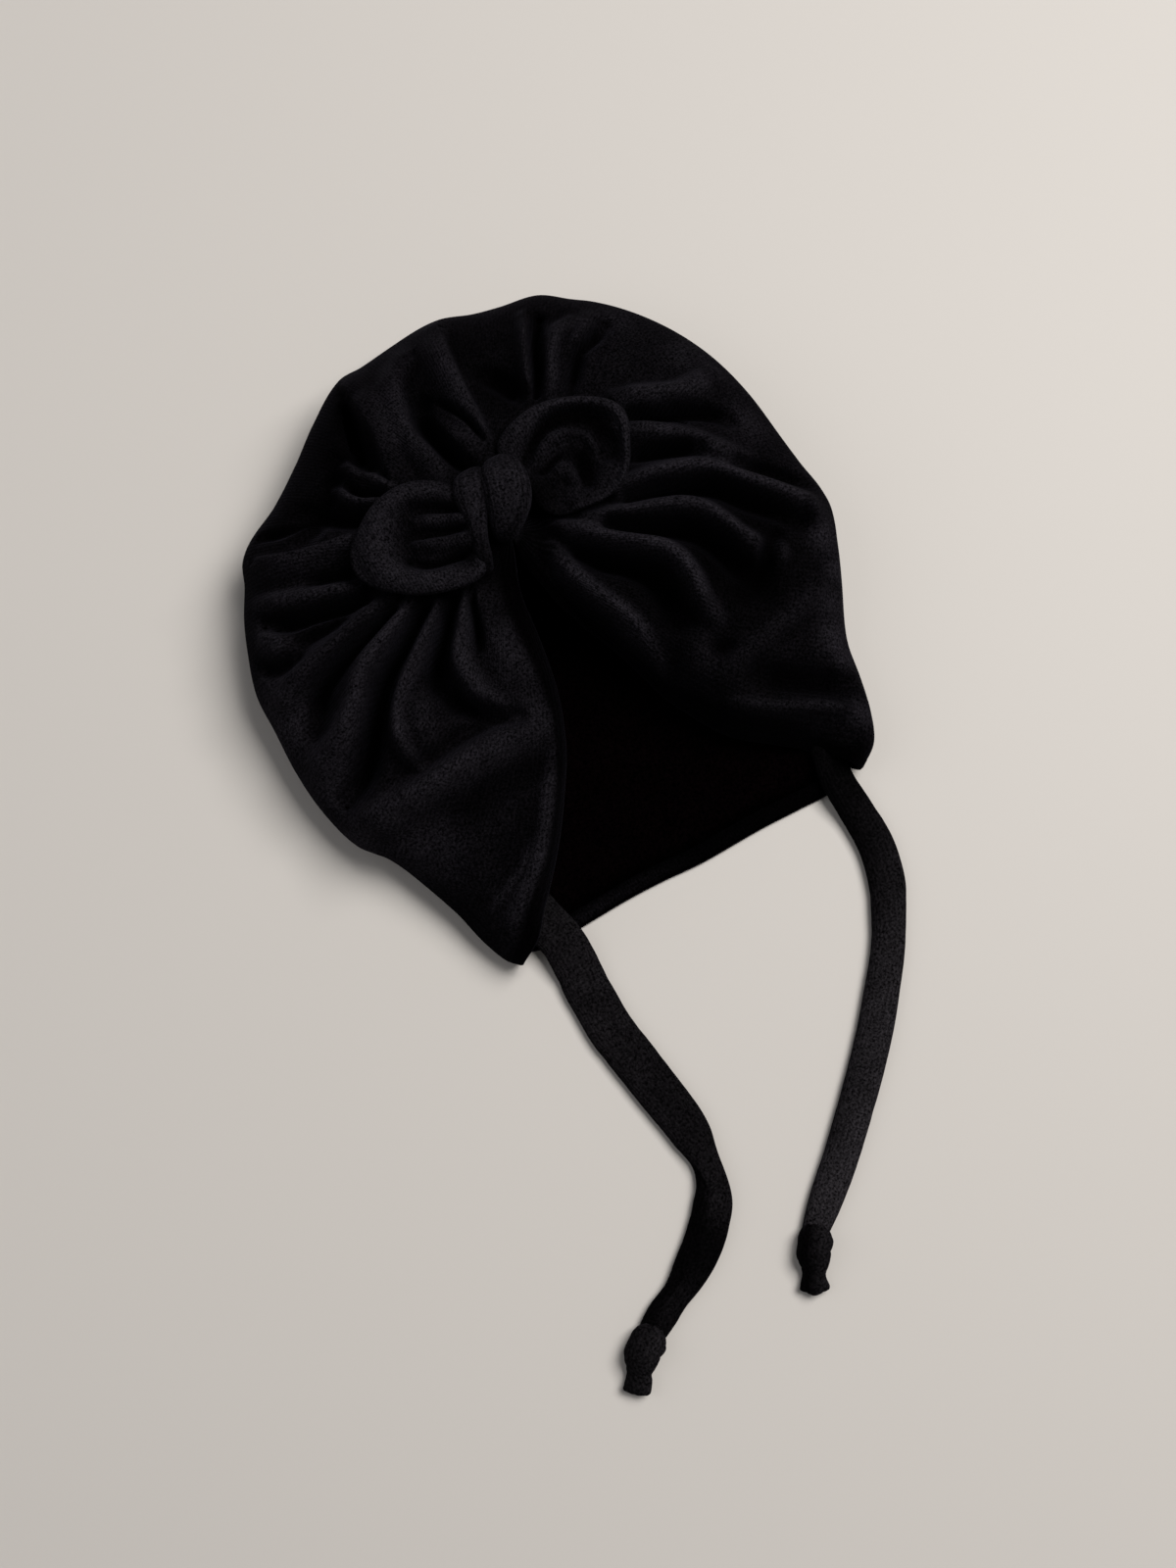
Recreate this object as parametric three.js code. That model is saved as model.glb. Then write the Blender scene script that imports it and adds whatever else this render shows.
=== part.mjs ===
// A baby's velour turban bonnet, lying on its back with its tied bow up and its face opening towards -Y.
// Millimetres, +Z up. The origin is on the flat underside, where the back of the cloth lies on the table.

import * as THREE from 'three';

// Driving dimensions
const clothWall = 2.2; // velour with its hem turnings
const gatherX = 1; // where every fold of the hood runs together, under the bow
const gatherY = 27;
const gatherHeight = 43; // outer face of the cloth at the gather
const gatherRing = 4; // radius of the last ring of folds before the gather closes
const stubHeight = 6; // the gathered cloth stands up a little inside the knot
const stubRadius = 7;
const crownSteepness = 2.4; // a higher number makes the hood flatter on top and fuller at its rim
const foldFadeRim = 0.84; // share of the reach where folds start to run out
const foldSharpness = 3; // how plainly one fold passes over the next
const rightTip = -62; // bearings of the two flap tips, in degrees about the gather
const leftTip = 240;
const edgeSpread = 64; // degrees over which the cloth follows a face edge
const napeBow = 5.5; // how far the nape hem bows out between the flap tips
const seatGap = 0.45; // clearance between pieces that lie on one another
const tieThickness = 4.2;
const slopeStep = 0.004; // share of the reach over which the hood's slope is taken
const velour = { color: 0x0d0c10, roughness: 0.96, metalness: 0 };

// Mesh counts: columns are spokes about the gather, rows run from the underside up over the rim to the gather
const hoodColumns = 80;
const napeColumns = 14;
const baseRings = 2;
const rimRows = 3;
const topRows = 16;

// The outline seen from above: bearing about the gather in degrees, reach in millimetres
const outline = [
  { bearing: -62, reach: 127.3 },
  { bearing: -58, reach: 124.4 },
  { bearing: -54, reach: 119.2 },
  { bearing: -50, reach: 112.8 },
  { bearing: -46, reach: 106.8 },
  { bearing: -42, reach: 103.7 },
  { bearing: -36, reach: 101.5 },
  { bearing: -29, reach: 100 },
  { bearing: -22, reach: 99.1 },
  { bearing: -18, reach: 97 },
  { bearing: -12, reach: 92.8 },
  { bearing: -5, reach: 90 },
  { bearing: 4, reach: 88.6 },
  { bearing: 16, reach: 87.3 },
  { bearing: 32, reach: 85.1 },
  { bearing: 42, reach: 83.6 },
  { bearing: 54, reach: 82.3 },
  { bearing: 62, reach: 78.5 },
  { bearing: 69, reach: 77 },
  { bearing: 77, reach: 77.8 },
  { bearing: 90, reach: 75.9 },
  { bearing: 104, reach: 77.3 },
  { bearing: 116, reach: 74.6 },
  { bearing: 127, reach: 73.3 },
  { bearing: 138, reach: 75.7 },
  { bearing: 147, reach: 82 },
  { bearing: 151, reach: 83.7 },
  { bearing: 163, reach: 85.4 },
  { bearing: 178, reach: 90 },
  { bearing: 194, reach: 94.3 },
  { bearing: 203, reach: 98.3 },
  { bearing: 211, reach: 101.3 },
  { bearing: 217, reach: 100.8 },
  { bearing: 223, reach: 104 },
  { bearing: 230, reach: 111 },
  { bearing: 235, reach: 119.6 },
  { bearing: 240, reach: 127.6 },
];

// Section through the hood at each bearing: height of its rim, height of its top, and how far the
// underside turns in from the rim before it lies flat
const sections = [
  { bearing: -62, rim: 7, top: 32, tuck: 5 },
  { bearing: -40, rim: 14, top: 42, tuck: 11 },
  { bearing: 0, rim: 17, top: 49, tuck: 13 },
  { bearing: 90, rim: 17, top: 50, tuck: 13 },
  { bearing: 150, rim: 16, top: 45, tuck: 12 },
  { bearing: 200, rim: 14, top: 41, tuck: 11 },
  { bearing: 225, rim: 11, top: 36, tuck: 9 },
  { bearing: 240, rim: 7, top: 32, tuck: 5 },
];

// The two edges of the face opening: bearing at each distance from the gather
const rightFaceEdge = [
  { reach: 4, bearing: -86 },
  { reach: 14, bearing: -85 },
  { reach: 25, bearing: -80 },
  { reach: 33, bearing: -75.5 },
  { reach: 42, bearing: -73.5 },
  { reach: 59, bearing: -74 },
  { reach: 78, bearing: -72 },
  { reach: 88, bearing: -69.8 },
  { reach: 98, bearing: -66.4 },
  { reach: 109, bearing: -63.4 },
  { reach: 118, bearing: -62 },
];
const leftFaceEdge = [
  { reach: 4, bearing: 240 },
  { reach: 14, bearing: 243 },
  { reach: 24, bearing: 251 },
  { reach: 33, bearing: 254.6 },
  { reach: 45, bearing: 255.6 },
  { reach: 60, bearing: 254 },
  { reach: 76, bearing: 250.6 },
  { reach: 92, bearing: 247.3 },
  { reach: 108, bearing: 243.8 },
  { reach: 126, bearing: 240 },
];

// How far each face edge rolls down into the opening, and over what width of cloth
const rightRoll = { drop: 10, width: 14 };
const leftRoll = { drop: 2, width: 5 };

// Raised folds of the hood. Each runs from one place to another, both given as a bearing and a reach about
// the gather, and bows to the left of its run. Its half width grows from start to end. A crease above 0 is
// an overlap whose right side falls away steeply, and below 0 its left side does.
const folds = [
  { name: 'right_upper', from: [358, 8], to: [328, 81], bow: 12, rise: 6.5, half: [3.8, 6], crease: 0 },
  { name: 'right_middle', from: [337, 9], to: [305, 68], bow: 12, rise: 6.5, half: [3.8, 6], crease: 0 },
  { name: 'right_lower', from: [307, 13], to: [286, 60], bow: 8, rise: 5, half: [3.8, 6], crease: 0 },
  { name: 'right_corner', from: [353, 25], to: [339, 92], bow: 13, rise: 5.5, half: [3.8, 5], crease: 0 },
  { name: 'beside_bow', from: [11, 46], to: [355, 69], bow: 3, rise: 4, half: [3.8, 5], crease: 0 },
  { name: 'back_right', from: [19, 53], to: [7, 82], bow: 3, rise: 4.5, half: [3.8, 5], crease: 0 },
  { name: 'back_slant', from: [31, 47], to: [24, 82], bow: 2, rise: 4.5, half: [3.8, 5], crease: 0 },
  { name: 'back_steep', from: [46, 43], to: [42, 77], bow: 5, rise: 4.5, half: [3.8, 5], crease: 0 },
  { name: 'back_overlap', from: [52, 40], to: [58, 70], bow: 0, rise: 5, half: [4, 6], crease: 0.6 },
  { name: 'back_middle', from: [69, 29], to: [78, 65], bow: -1, rise: 5.5, half: [3.8, 5], crease: 0.4 },
  { name: 'pouch_rim', from: [109, 25], to: [83, 60], bow: 14, rise: 6, half: [3.8, 5], crease: 0 },
  { name: 'shoulder_overlap', from: [118, 40], to: [102, 70], bow: -1, rise: 5.5, half: [4, 6], crease: -0.6 },
  { name: 'corner_small', from: [119, 32], to: [123, 55], bow: 4, rise: 4, half: [3.8, 5], crease: 0 },
  { name: 'corner_next', from: [131, 36], to: [132, 57], bow: 3, rise: 4, half: [3.8, 5], crease: 0 },
  { name: 'corner_overlap', from: [150, 45], to: [151, 80], bow: 4, rise: 5.5, half: [4, 6], crease: 0.6 },
  { name: 'left_first', from: [167, 46], to: [161, 80], bow: 2, rise: 4, half: [3.8, 5], crease: 0 },
  { name: 'left_second', from: [178, 38], to: [186, 82], bow: -3, rise: 4.2, half: [4, 5.2], crease: 0 },
  { name: 'left_third', from: [188, 34], to: [197, 84], bow: -3, rise: 4.4, half: [4, 5.4], crease: 0 },
  { name: 'left_pouch', from: [194, 27], to: [214, 72], bow: -8, rise: 5, half: [4.4, 6], crease: 0 },
  { name: 'left_swirl', from: [199, 24], to: [241, 52], bow: -10, rise: 4.6, half: [4.4, 6], crease: 0 },
  { name: 'left_panel', from: [219, 19], to: [252, 52], bow: 2, rise: 4, half: [3.8, 6], crease: 0 },
  { name: 'left_cross', from: [252, 56], to: [210, 94], bow: -4, rise: 5, half: [5, 5], crease: 0 },
  { name: 'right_cross', from: [335, 92], to: [296, 79], bow: 9, rise: 4, half: [6, 7], crease: 0 },
];

// Hollows between the folds, in the same columns
const hollows = [
  { name: 'left_first_hollow', from: [172, 42], to: [165, 78], bow: 6, rise: 1.8, half: [4.4, 5], crease: 0 },
  { name: 'left_deep_hollow', from: [191, 37], to: [205, 88], bow: -3, rise: 1.8, half: [4.4, 6], crease: 0 },
  { name: 'pouch_floor', from: [102, 36], to: [96, 56], bow: 3, rise: 3, half: [5, 6], crease: 0 },
  { name: 'right_big_hollow', from: [333, 52], to: [320, 80], bow: -1, rise: 4, half: [5, 8], crease: 0 },
  { name: 'right_flap_hollow', from: [299, 85], to: [308, 104], bow: 0, rise: 3, half: [4, 5], crease: 0 },
];

// The bow's two ends, each a cupped double cloth with a plump rim: its outline about its own middle
const bowLeaves = [
  {
    name: 'bow_leaf_left',
    middle: [-24.2, 36.6],
    wall: 3.4,
    rimRise: 5,
    outline: [
      { bearing: 8, reach: 15.6 },
      { bearing: 30, reach: 16.6 },
      { bearing: 63, reach: 17.9 },
      { bearing: 103, reach: 18.7 },
      { bearing: 146, reach: 19.4 },
      { bearing: 172, reach: 21 },
      { bearing: 197, reach: 18.8 },
      { bearing: 228, reach: 17.1 },
      { bearing: 261, reach: 17.5 },
      { bearing: 290, reach: 19 },
      { bearing: 304, reach: 19.6 },
      { bearing: 322, reach: 15.8 },
      { bearing: 344, reach: 14.8 },
    ],
    pleats: [
      { from: [-13.5, 37.6], to: [-24, 39], rise: 1.4 },
      { from: [-14, 31.2], to: [-26, 34], rise: 1.4 },
    ],
  },
  {
    name: 'bow_leaf_right',
    middle: [29.6, 34.4],
    wall: 3.4,
    rimRise: 5,
    outline: [
      { bearing: 4, reach: 17 },
      { bearing: 22, reach: 19.2 },
      { bearing: 50, reach: 18.2 },
      { bearing: 85, reach: 18.6 },
      { bearing: 110, reach: 19.6 },
      { bearing: 132, reach: 22 },
      { bearing: 148, reach: 19.4 },
      { bearing: 170, reach: 17.4 },
      { bearing: 192, reach: 17.4 },
      { bearing: 208, reach: 18.4 },
      { bearing: 226, reach: 17.4 },
      { bearing: 265, reach: 15 },
      { bearing: 300, reach: 14.4 },
      { bearing: 335, reach: 14.8 },
    ],
    pleats: [
      { from: [17, 39], to: [31, 43], rise: 1.6 },
      { from: [17.5, 33.5], to: [26, 34], rise: 1.4 },
    ],
  },
];
const leafRings = 6;
const leafSegments = 26;

// The knot's two bands: stations along each with the width and depth of the rolled cloth there
const knotBands = [
  {
    name: 'knot_wrap',
    stations: [
      { at: [3.6, 46.6, 48.7], width: 5, depth: 4 },
      { at: [4.8, 43.4, 51.8], width: 10, depth: 8 },
      { at: [6, 38.4, 54.6], width: 12, depth: 9.4 },
      { at: [6.2, 33, 55.4], width: 12.6, depth: 9.6 },
      { at: [5.4, 27.4, 54.4], width: 12, depth: 9.4 },
      { at: [4, 22.6, 51.6], width: 10, depth: 8 },
      { at: [2.6, 19.6, 48.2], width: 5, depth: 4 },
    ],
  },
  {
    name: 'knot_tuck',
    stations: [
      { at: [-3.4, 44, 48.6], width: 5, depth: 4 },
      { at: [-4.3, 41, 51.4], width: 8.4, depth: 7 },
      { at: [-5, 36.4, 53.2], width: 8.8, depth: 8 },
      { at: [-5.8, 31, 53.2], width: 7.6, depth: 8 },
      { at: [-6.6, 25.6, 51.6], width: 7, depth: 7 },
      { at: [-6.8, 20.6, 48.2], width: 6, depth: 6 },
      { at: [-6.4, 17.4, 45.6], width: 3.6, depth: 3.6 },
    ],
  },
];
const bandSides = 14;

// The ties: flat sewn tubes laid on the table, and the knot with its short tail at each far end
const ties = [
  {
    name: 'tie_left',
    width: 14,
    steps: 22,
    route: [
      [-50.5, -65, 5.4],
      [-49, -71.5, 5.4],
      [-47.8, -78, 5.4],
      [-47, -84.5, 4.9],
      [-47.1, -92, 2.8],
      [-48, -99, 2.3],
      [-48.5, -111, 2.3],
      [-47.4, -125, 2.3],
      [-45.4, -140, 2.3],
      [-44.6, -155, 2.3],
      [-46.8, -168.5, 2.3],
      [-54.6, -179.6, 2.3],
      [-66, -187.6, 2.3],
      [-77, -192.8, 2.3],
      [-84.6, -196.6, 2.3],
    ],
    endKnot: 'tie_knot_left',
    knotStations: [
      { along: 0.8, width: 7, depth: 4 },
      { along: 3.4, width: 13, depth: 8 },
      { along: 7, width: 13.4, depth: 8.4 },
      { along: 10, width: 9, depth: 6 },
      { along: 12.5, width: 8.4, depth: 5.4 },
      { along: 16, width: 11, depth: 6 },
      { along: 18, width: 7, depth: 4 },
    ],
  },
  {
    name: 'tie_right',
    width: 11.2,
    steps: 22,
    route: [
      [54.6, -67, 5.4],
      [52.6, -73, 5.4],
      [51, -79, 5.4],
      [50.4, -85, 4.9],
      [50.5, -93, 2.8],
      [49.9, -104.5, 2.3],
      [47.7, -115, 2.3],
      [42.8, -124.8, 2.3],
      [36.4, -135, 2.3],
      [29.8, -144.6, 2.3],
      [21.8, -153.6, 2.3],
      [12.4, -163, 2.3],
      [2.2, -172.4, 2.3],
      [-8.4, -181.8, 2.3],
      [-18.4, -189.8, 2.3],
      [-26.6, -196.4, 2.3],
    ],
    endKnot: 'tie_knot_right',
    knotStations: [
      { along: 0.8, width: 6, depth: 4 },
      { along: 3, width: 10, depth: 7 },
      { along: 7, width: 10.4, depth: 7.6 },
      { along: 10, width: 7.6, depth: 5.6 },
      { along: 12, width: 7, depth: 5 },
      { along: 15, width: 8.6, depth: 5.4 },
      { along: 16.6, width: 6, depth: 4 },
    ],
  },
];
const tieSides = 10;

const degree = Math.PI / 180;
const mix = (a, b, t) => a + (b - a) * t;

function smooth(low, high, value) {
  return THREE.MathUtils.smoothstep(value, low, high);
}

// A smooth curve through the rows of a table, read at one value of its first column
function curveThrough(rows, key, column) {
  const n = rows.length;
  const slope = rows.map((row, i) => {
    const a = rows[Math.max(0, i - 1)];
    const b = rows[Math.min(n - 1, i + 1)];
    return (b[column] - a[column]) / (b[key] - a[key]);
  });
  return (value) => {
    const clamped = Math.min(Math.max(value, rows[0][key]), rows[n - 1][key]);
    let i = 0;
    while (i < n - 2 && rows[i + 1][key] < clamped) i += 1;
    const span = rows[i + 1][key] - rows[i][key];
    const t = (clamped - rows[i][key]) / span;
    const t2 = t * t;
    const t3 = t2 * t;
    return (2 * t3 - 3 * t2 + 1) * rows[i][column] + (t3 - 2 * t2 + t) * span * slope[i]
      + (3 * t2 - 2 * t3) * rows[i + 1][column] + (t3 - t2) * span * slope[i + 1];
  };
}

const reachAt = curveThrough(outline, 'bearing', 'reach');
const rimAt = curveThrough(sections, 'bearing', 'rim');
const topAt = curveThrough(sections, 'bearing', 'top');
const tuckAt = curveThrough(sections, 'bearing', 'tuck');
const rightEdgeAt = curveThrough(rightFaceEdge, 'reach', 'bearing');
const leftEdgeAt = curveThrough(leftFaceEdge, 'reach', 'bearing');

function aboutGather(bearing, reach) {
  return new THREE.Vector2(
    gatherX + reach * Math.cos(bearing * degree),
    gatherY + reach * Math.sin(bearing * degree),
  );
}

// A fold's run as a bowed line of points
function foldLine(fold) {
  const start = aboutGather(...fold.from);
  const end = aboutGather(...fold.to);
  const run = end.clone().sub(start).normalize();
  const control = start.clone().add(end).multiplyScalar(0.5);
  control.add(new THREE.Vector2(-run.y, run.x).multiplyScalar(2 * fold.bow));
  return new THREE.QuadraticBezierCurve(start, control, end).getPoints(16);
}

const foldLines = new Map([...folds, ...hollows].map((fold) => [fold, foldLine(fold)]));

// How high one fold stands at a point, from its nearest place on the fold's line
function foldHeight(fold, point) {
  const line = foldLines.get(fold);
  let best = { distance: Infinity };
  for (let i = 0; i < line.length - 1; i += 1) {
    const run = line[i + 1].clone().sub(line[i]);
    const from = point.clone().sub(line[i]);
    const t = THREE.MathUtils.clamp(from.dot(run) / run.lengthSq(), 0, 1);
    const distance = from.distanceTo(run.clone().multiplyScalar(t));
    if (distance < best.distance) {
      best = { distance, along: (i + t) / (line.length - 1), side: Math.sign(run.cross(from)) };
    }
  }
  const steep = 1 + best.side * fold.crease;
  const half = mix(fold.half[0], fold.half[1], best.along) * steep;
  const swell = mix(0.5, 1, smooth(0, 0.35, best.along)) * mix(1, 0.35, smooth(0.6, 1, best.along));
  return fold.rise * swell * Math.exp(-((best.distance / half) ** 2));
}

function foldField(rows, point) {
  const sum = rows.reduce((total, fold) => total + foldHeight(fold, point) ** foldSharpness, 0);
  return sum ** (1 / foldSharpness);
}

// The hood's smooth form under its folds, at a share of the reach from the gather
function hoodHeight(bearing, share) {
  const rim = rimAt(bearing);
  const top = mix(gatherHeight, topAt(bearing), smooth(0, 0.45, share));
  return rim + (top - rim) * Math.sqrt(Math.max(0, 1 - share ** crownSteepness));
}

// Columns near a face edge swing round with it
function swungBearing(bearing, reach) {
  const right = Math.max(0, 1 - (bearing - rightTip) / edgeSpread) ** 1.6;
  const left = Math.max(0, 1 - (leftTip - bearing) / edgeSpread) ** 1.6;
  return bearing + right * (rightEdgeAt(reach) - rightTip) + left * (leftEdgeAt(reach) - leftTip);
}

function rollDrop(roll, arc, reach) {
  const near = Math.max(0, 1 - arc / roll.width);
  return roll.drop * near * near * smooth(12, 40, reach) * (1 - smooth(92, 120, reach));
}

// A vertex of the hood and the direction its wall faces
function hoodTop(bearing, share) {
  const reach = reachAt(bearing) * share;
  const swung = swungBearing(bearing, reach);
  const point = aboutGather(swung, reach);
  const fade = (1 - smooth(foldFadeRim, 1, share)) * smooth(5, 13, reach);
  const relief = (foldField(folds, point) - foldField(hollows, point)) * fade;
  const roll = rollDrop(rightRoll, (bearing - rightTip) * degree * reach, reach)
    + rollDrop(leftRoll, (leftTip - bearing) * degree * reach, reach);
  const stub = stubHeight * Math.exp(-((reach / stubRadius) ** 2));
  const slope = (hoodHeight(bearing, share) - hoodHeight(bearing, share - slopeStep))
    / (slopeStep * reachAt(bearing));
  const lean = Math.atan(-slope);
  return {
    at: new THREE.Vector3(point.x, point.y, hoodHeight(bearing, share) + relief - roll + stub),
    out: facing(swung, lean),
  };
}

// Unit direction at a bearing, leaning outward from straight up
function facing(bearing, lean) {
  const flat = Math.sin(lean);
  return new THREE.Vector3(flat * Math.cos(bearing * degree), flat * Math.sin(bearing * degree), Math.cos(lean));
}

// The turn of the cloth under its rim: 0 at the rim, 1 where it lies flat
function rimTurn(bearing, turn) {
  const angle = turn * Math.PI / 2;
  const tuck = tuckAt(bearing);
  const rim = rimAt(bearing);
  const point = aboutGather(bearing, reachAt(bearing) - tuck * (1 - Math.cos(angle)));
  const lean = Math.PI / 2 + Math.atan2(Math.sin(angle) * tuck, Math.cos(angle) * rim);
  return { at: new THREE.Vector3(point.x, point.y, rim * (1 - Math.sin(angle))), out: facing(bearing, lean) };
}

const down = new THREE.Vector3(0, 0, -1);

// The whole cloth as one sheet: rows from the middle of the underside out, up over the rim and in to the gather
function crownSheet() {
  const points = [{ at: new THREE.Vector3(gatherX, gatherY, 0), out: down }];
  const faces = [];
  const put = (vertex) => points.push(vertex) - 1;
  const bearings = Array.from({ length: hoodColumns + 1 }, (_, i) => mix(rightTip, leftTip, i / hoodColumns));
  const flatEnd = bearings.map((bearing) => rimTurn(bearing, 1).at);
  const leftEnd = flatEnd[hoodColumns];
  const rightEnd = flatEnd[0];
  for (let i = 1; i < napeColumns; i += 1) {
    const t = i / napeColumns;
    const edge = leftEnd.clone().lerp(rightEnd, t);
    edge.y -= napeBow * Math.sin(Math.PI * t) ** 0.6;
    flatEnd.push(edge);
  }
  const base = points[0].at;
  const rings = [];
  for (let ring = 1; ring <= baseRings; ring += 1) {
    rings.push(flatEnd.map((end) => put({ at: base.clone().lerp(end, ring / baseRings), out: down })));
  }
  const around = flatEnd.length;
  for (let i = 0; i < around; i += 1) {
    faces.push([0, rings[0][(i + 1) % around], rings[0][i]]);
    quad(faces, rings[0][i], rings[0][(i + 1) % around], rings[1][(i + 1) % around], rings[1][i]);
  }
  let below = rings[baseRings - 1].slice(0, hoodColumns + 1);
  const rightEdge = [];
  const leftEdge = [];
  const addRow = (row) => {
    for (let i = 0; i < hoodColumns; i += 1) quad(faces, below[i], below[i + 1], row[i + 1], row[i]);
    rightEdge.push(row[0]);
    leftEdge.push(row[hoodColumns]);
    below = row;
  };
  for (let i = 1; i <= rimRows; i += 1) {
    addRow(bearings.map((bearing) => put(rimTurn(bearing, 1 - i / rimRows))));
  }
  for (let i = 1; i <= topRows; i += 1) {
    const t = 1 - i / topRows;
    const outer = 0.65 * Math.sin(t * Math.PI / 2) + 0.35 * t;
    addRow(bearings.map((bearing) => {
      const least = gatherRing / reachAt(bearing);
      return put(hoodTop(bearing, mix(least, 1, outer)));
    }));
  }
  const tip = put({ at: new THREE.Vector3(gatherX, gatherY, gatherHeight + stubHeight), out: facing(0, 0) });
  for (let i = 0; i < hoodColumns; i += 1) faces.push([below[i], below[i + 1], tip]);
  const nape = rings[baseRings - 1].slice(hoodColumns);
  const edge = [...rightEdge, tip, ...leftEdge.reverse(), ...nape, rings[baseRings - 1][0]];
  return { points, faces, edge };
}

function quad(faces, a, b, c, d) {
  faces.push([a, b, c], [a, c, d]);
}

// Gives a sheet its wall on the side away from where it faces, and closes it along its edge
function walled({ points, faces, edge }, wall) {
  const count = points.length;
  const positions = [];
  for (const { at } of points) positions.push(at.x, at.y, at.z);
  for (const { at, out } of points) {
    positions.push(at.x - wall * out.x, at.y - wall * out.y, at.z - wall * out.z);
  }
  const all = [];
  for (const [a, b, c] of faces) all.push([a, b, c], [count + a, count + c, count + b]);
  for (let i = 0; i < edge.length; i += 1) {
    const a = edge[i];
    const b = edge[(i + 1) % edge.length];
    quad(all, a, b, count + b, count + a);
  }
  return meshed(positions, all);
}

function meshed(positions, faces) {
  const geometry = new THREE.BufferGeometry();
  geometry.setAttribute('position', new THREE.Float32BufferAttribute(positions, 3));
  geometry.setIndex(faces.flat());
  geometry.computeVertexNormals();
  return geometry;
}

function cloth(name, geometry) {
  const mesh = new THREE.Mesh(geometry, new THREE.MeshStandardMaterial({ ...velour, side: THREE.DoubleSide }));
  mesh.name = name;
  return mesh;
}

// Highest cloth of a piece around a point, seen from above
function highestAround(mesh, x, y, radius) {
  const ray = new THREE.Raycaster();
  let highest = 0;
  for (const [dx, dy] of [[0, 0], [radius, 0], [-radius, 0], [0, radius], [0, -radius]]) {
    ray.set(new THREE.Vector3(x + dx, y + dy, 200), down);
    const [hit] = ray.intersectObject(mesh);
    if (hit) highest = Math.max(highest, hit.point.z);
  }
  return highest;
}

// One end of the bow: rings about its middle, dished inside a rim that turns down again at the edge
function leafGeometry(leaf, crown) {
  const closed = leaf.outline.concat({ ...leaf.outline[0], bearing: leaf.outline[0].bearing + 360 });
  const leafReach = curveThrough(closed, 'bearing', 'reach');
  const first = leaf.outline[0].bearing;
  const [middleX, middleY] = leaf.middle;
  const rest = highestAround(crown, middleX, middleY, 6) + seatGap;
  const pleatAt = (x, y) => Math.max(...leaf.pleats.map((pleat) => {
    const from = new THREE.Vector3(...pleat.from, 0);
    const to = new THREE.Vector3(...pleat.to, 0);
    const nearest = new THREE.Line3(from, to).closestPointToPoint(new THREE.Vector3(x, y, 0), true, to.clone());
    return pleat.rise * Math.exp(-((nearest.distanceTo(new THREE.Vector3(x, y, 0)) / 2) ** 2));
  }));
  const vertex = (share, bearing) => {
    const x = middleX + share * leafReach(bearing) * Math.cos(bearing * degree);
    const y = middleY + share * leafReach(bearing) * Math.sin(bearing * degree);
    const rim = leaf.rimRise * (smooth(0.3, 0.76, share) - 0.55 * smooth(0.82, 1, share));
    const half = leaf.wall / 2 * Math.sqrt(Math.max(0, 1 - share ** 6));
    const lower = Math.max(rest + rim, highestAround(crown, x, y, 2) + seatGap) + leaf.wall / 2 - half;
    return { x, y, lower, upper: lower + 2 * half + (share < 1 ? pleatAt(x, y) : 0) };
  };
  const positions = [];
  const faces = [];
  const put = (x, y, z) => positions.push(x, y, z) / 3 - 1;
  const centre = vertex(0, 0);
  const top = put(centre.x, centre.y, centre.upper);
  const bottom = put(centre.x, centre.y, centre.lower);
  let upperRing;
  let lowerRing;
  for (let ring = 1; ring <= leafRings; ring += 1) {
    const share = Math.sin(ring / leafRings * Math.PI / 2) * 0.5 + ring / leafRings * 0.5;
    const made = Array.from({ length: leafSegments }, (_, i) => vertex(share, first + 360 * i / leafSegments));
    const upper = made.map(({ x, y, upper: z }) => put(x, y, z));
    const lower = ring < leafRings ? made.map(({ x, y, lower: z }) => put(x, y, z)) : upper;
    for (let i = 0; i < leafSegments; i += 1) {
      const next = (i + 1) % leafSegments;
      if (ring === 1) {
        faces.push([top, upper[i], upper[next]], [bottom, lower[next], lower[i]]);
      } else {
        quad(faces, upperRing[i], upper[i], upper[next], upperRing[next]);
        quad(faces, lowerRing[next], lower[next], lower[i], lowerRing[i]);
      }
    }
    upperRing = upper;
    lowerRing = lower;
  }
  return meshed(positions, faces);
}

// Rolled cloth through stations that each give a place, a width and a depth. Its sections stand square to
// the way it runs, or to one fixed direction.
function rolledCloth(stations, heading) {
  const path = new THREE.CatmullRomCurve3(stations.map(({ at }) => new THREE.Vector3(...at)));
  const positions = [];
  const faces = [];
  const count = stations.length;
  stations.forEach((station, i) => {
    const centre = new THREE.Vector3(...station.at);
    const run = heading ?? path.getTangent(i / (count - 1));
    const across = new THREE.Vector3().crossVectors(run, new THREE.Vector3(0, 0, 1)).normalize();
    const up = new THREE.Vector3().crossVectors(across, run).normalize();
    for (let k = 0; k < bandSides; k += 1) {
      const angle = 2 * Math.PI * k / bandSides;
      const corner = centre.clone()
        .addScaledVector(across, Math.cos(angle) * station.width / 2)
        .addScaledVector(up, Math.sin(angle) * station.depth / 2);
      positions.push(corner.x, corner.y, corner.z);
    }
  });
  for (let i = 0; i < count - 1; i += 1) {
    for (let k = 0; k < bandSides; k += 1) {
      const next = (k + 1) % bandSides;
      quad(faces, i * bandSides + k, (i + 1) * bandSides + k, (i + 1) * bandSides + next, i * bandSides + next);
    }
  }
  for (let k = 1; k < bandSides - 1; k += 1) {
    const end = (count - 1) * bandSides;
    faces.push([0, k, k + 1], [end, end + k + 1, end + k]);
  }
  return meshed(positions, faces);
}

const tiePath = (tie) => new THREE.CatmullRomCurve3(tie.route.map((point) => new THREE.Vector3(...point)));

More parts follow.
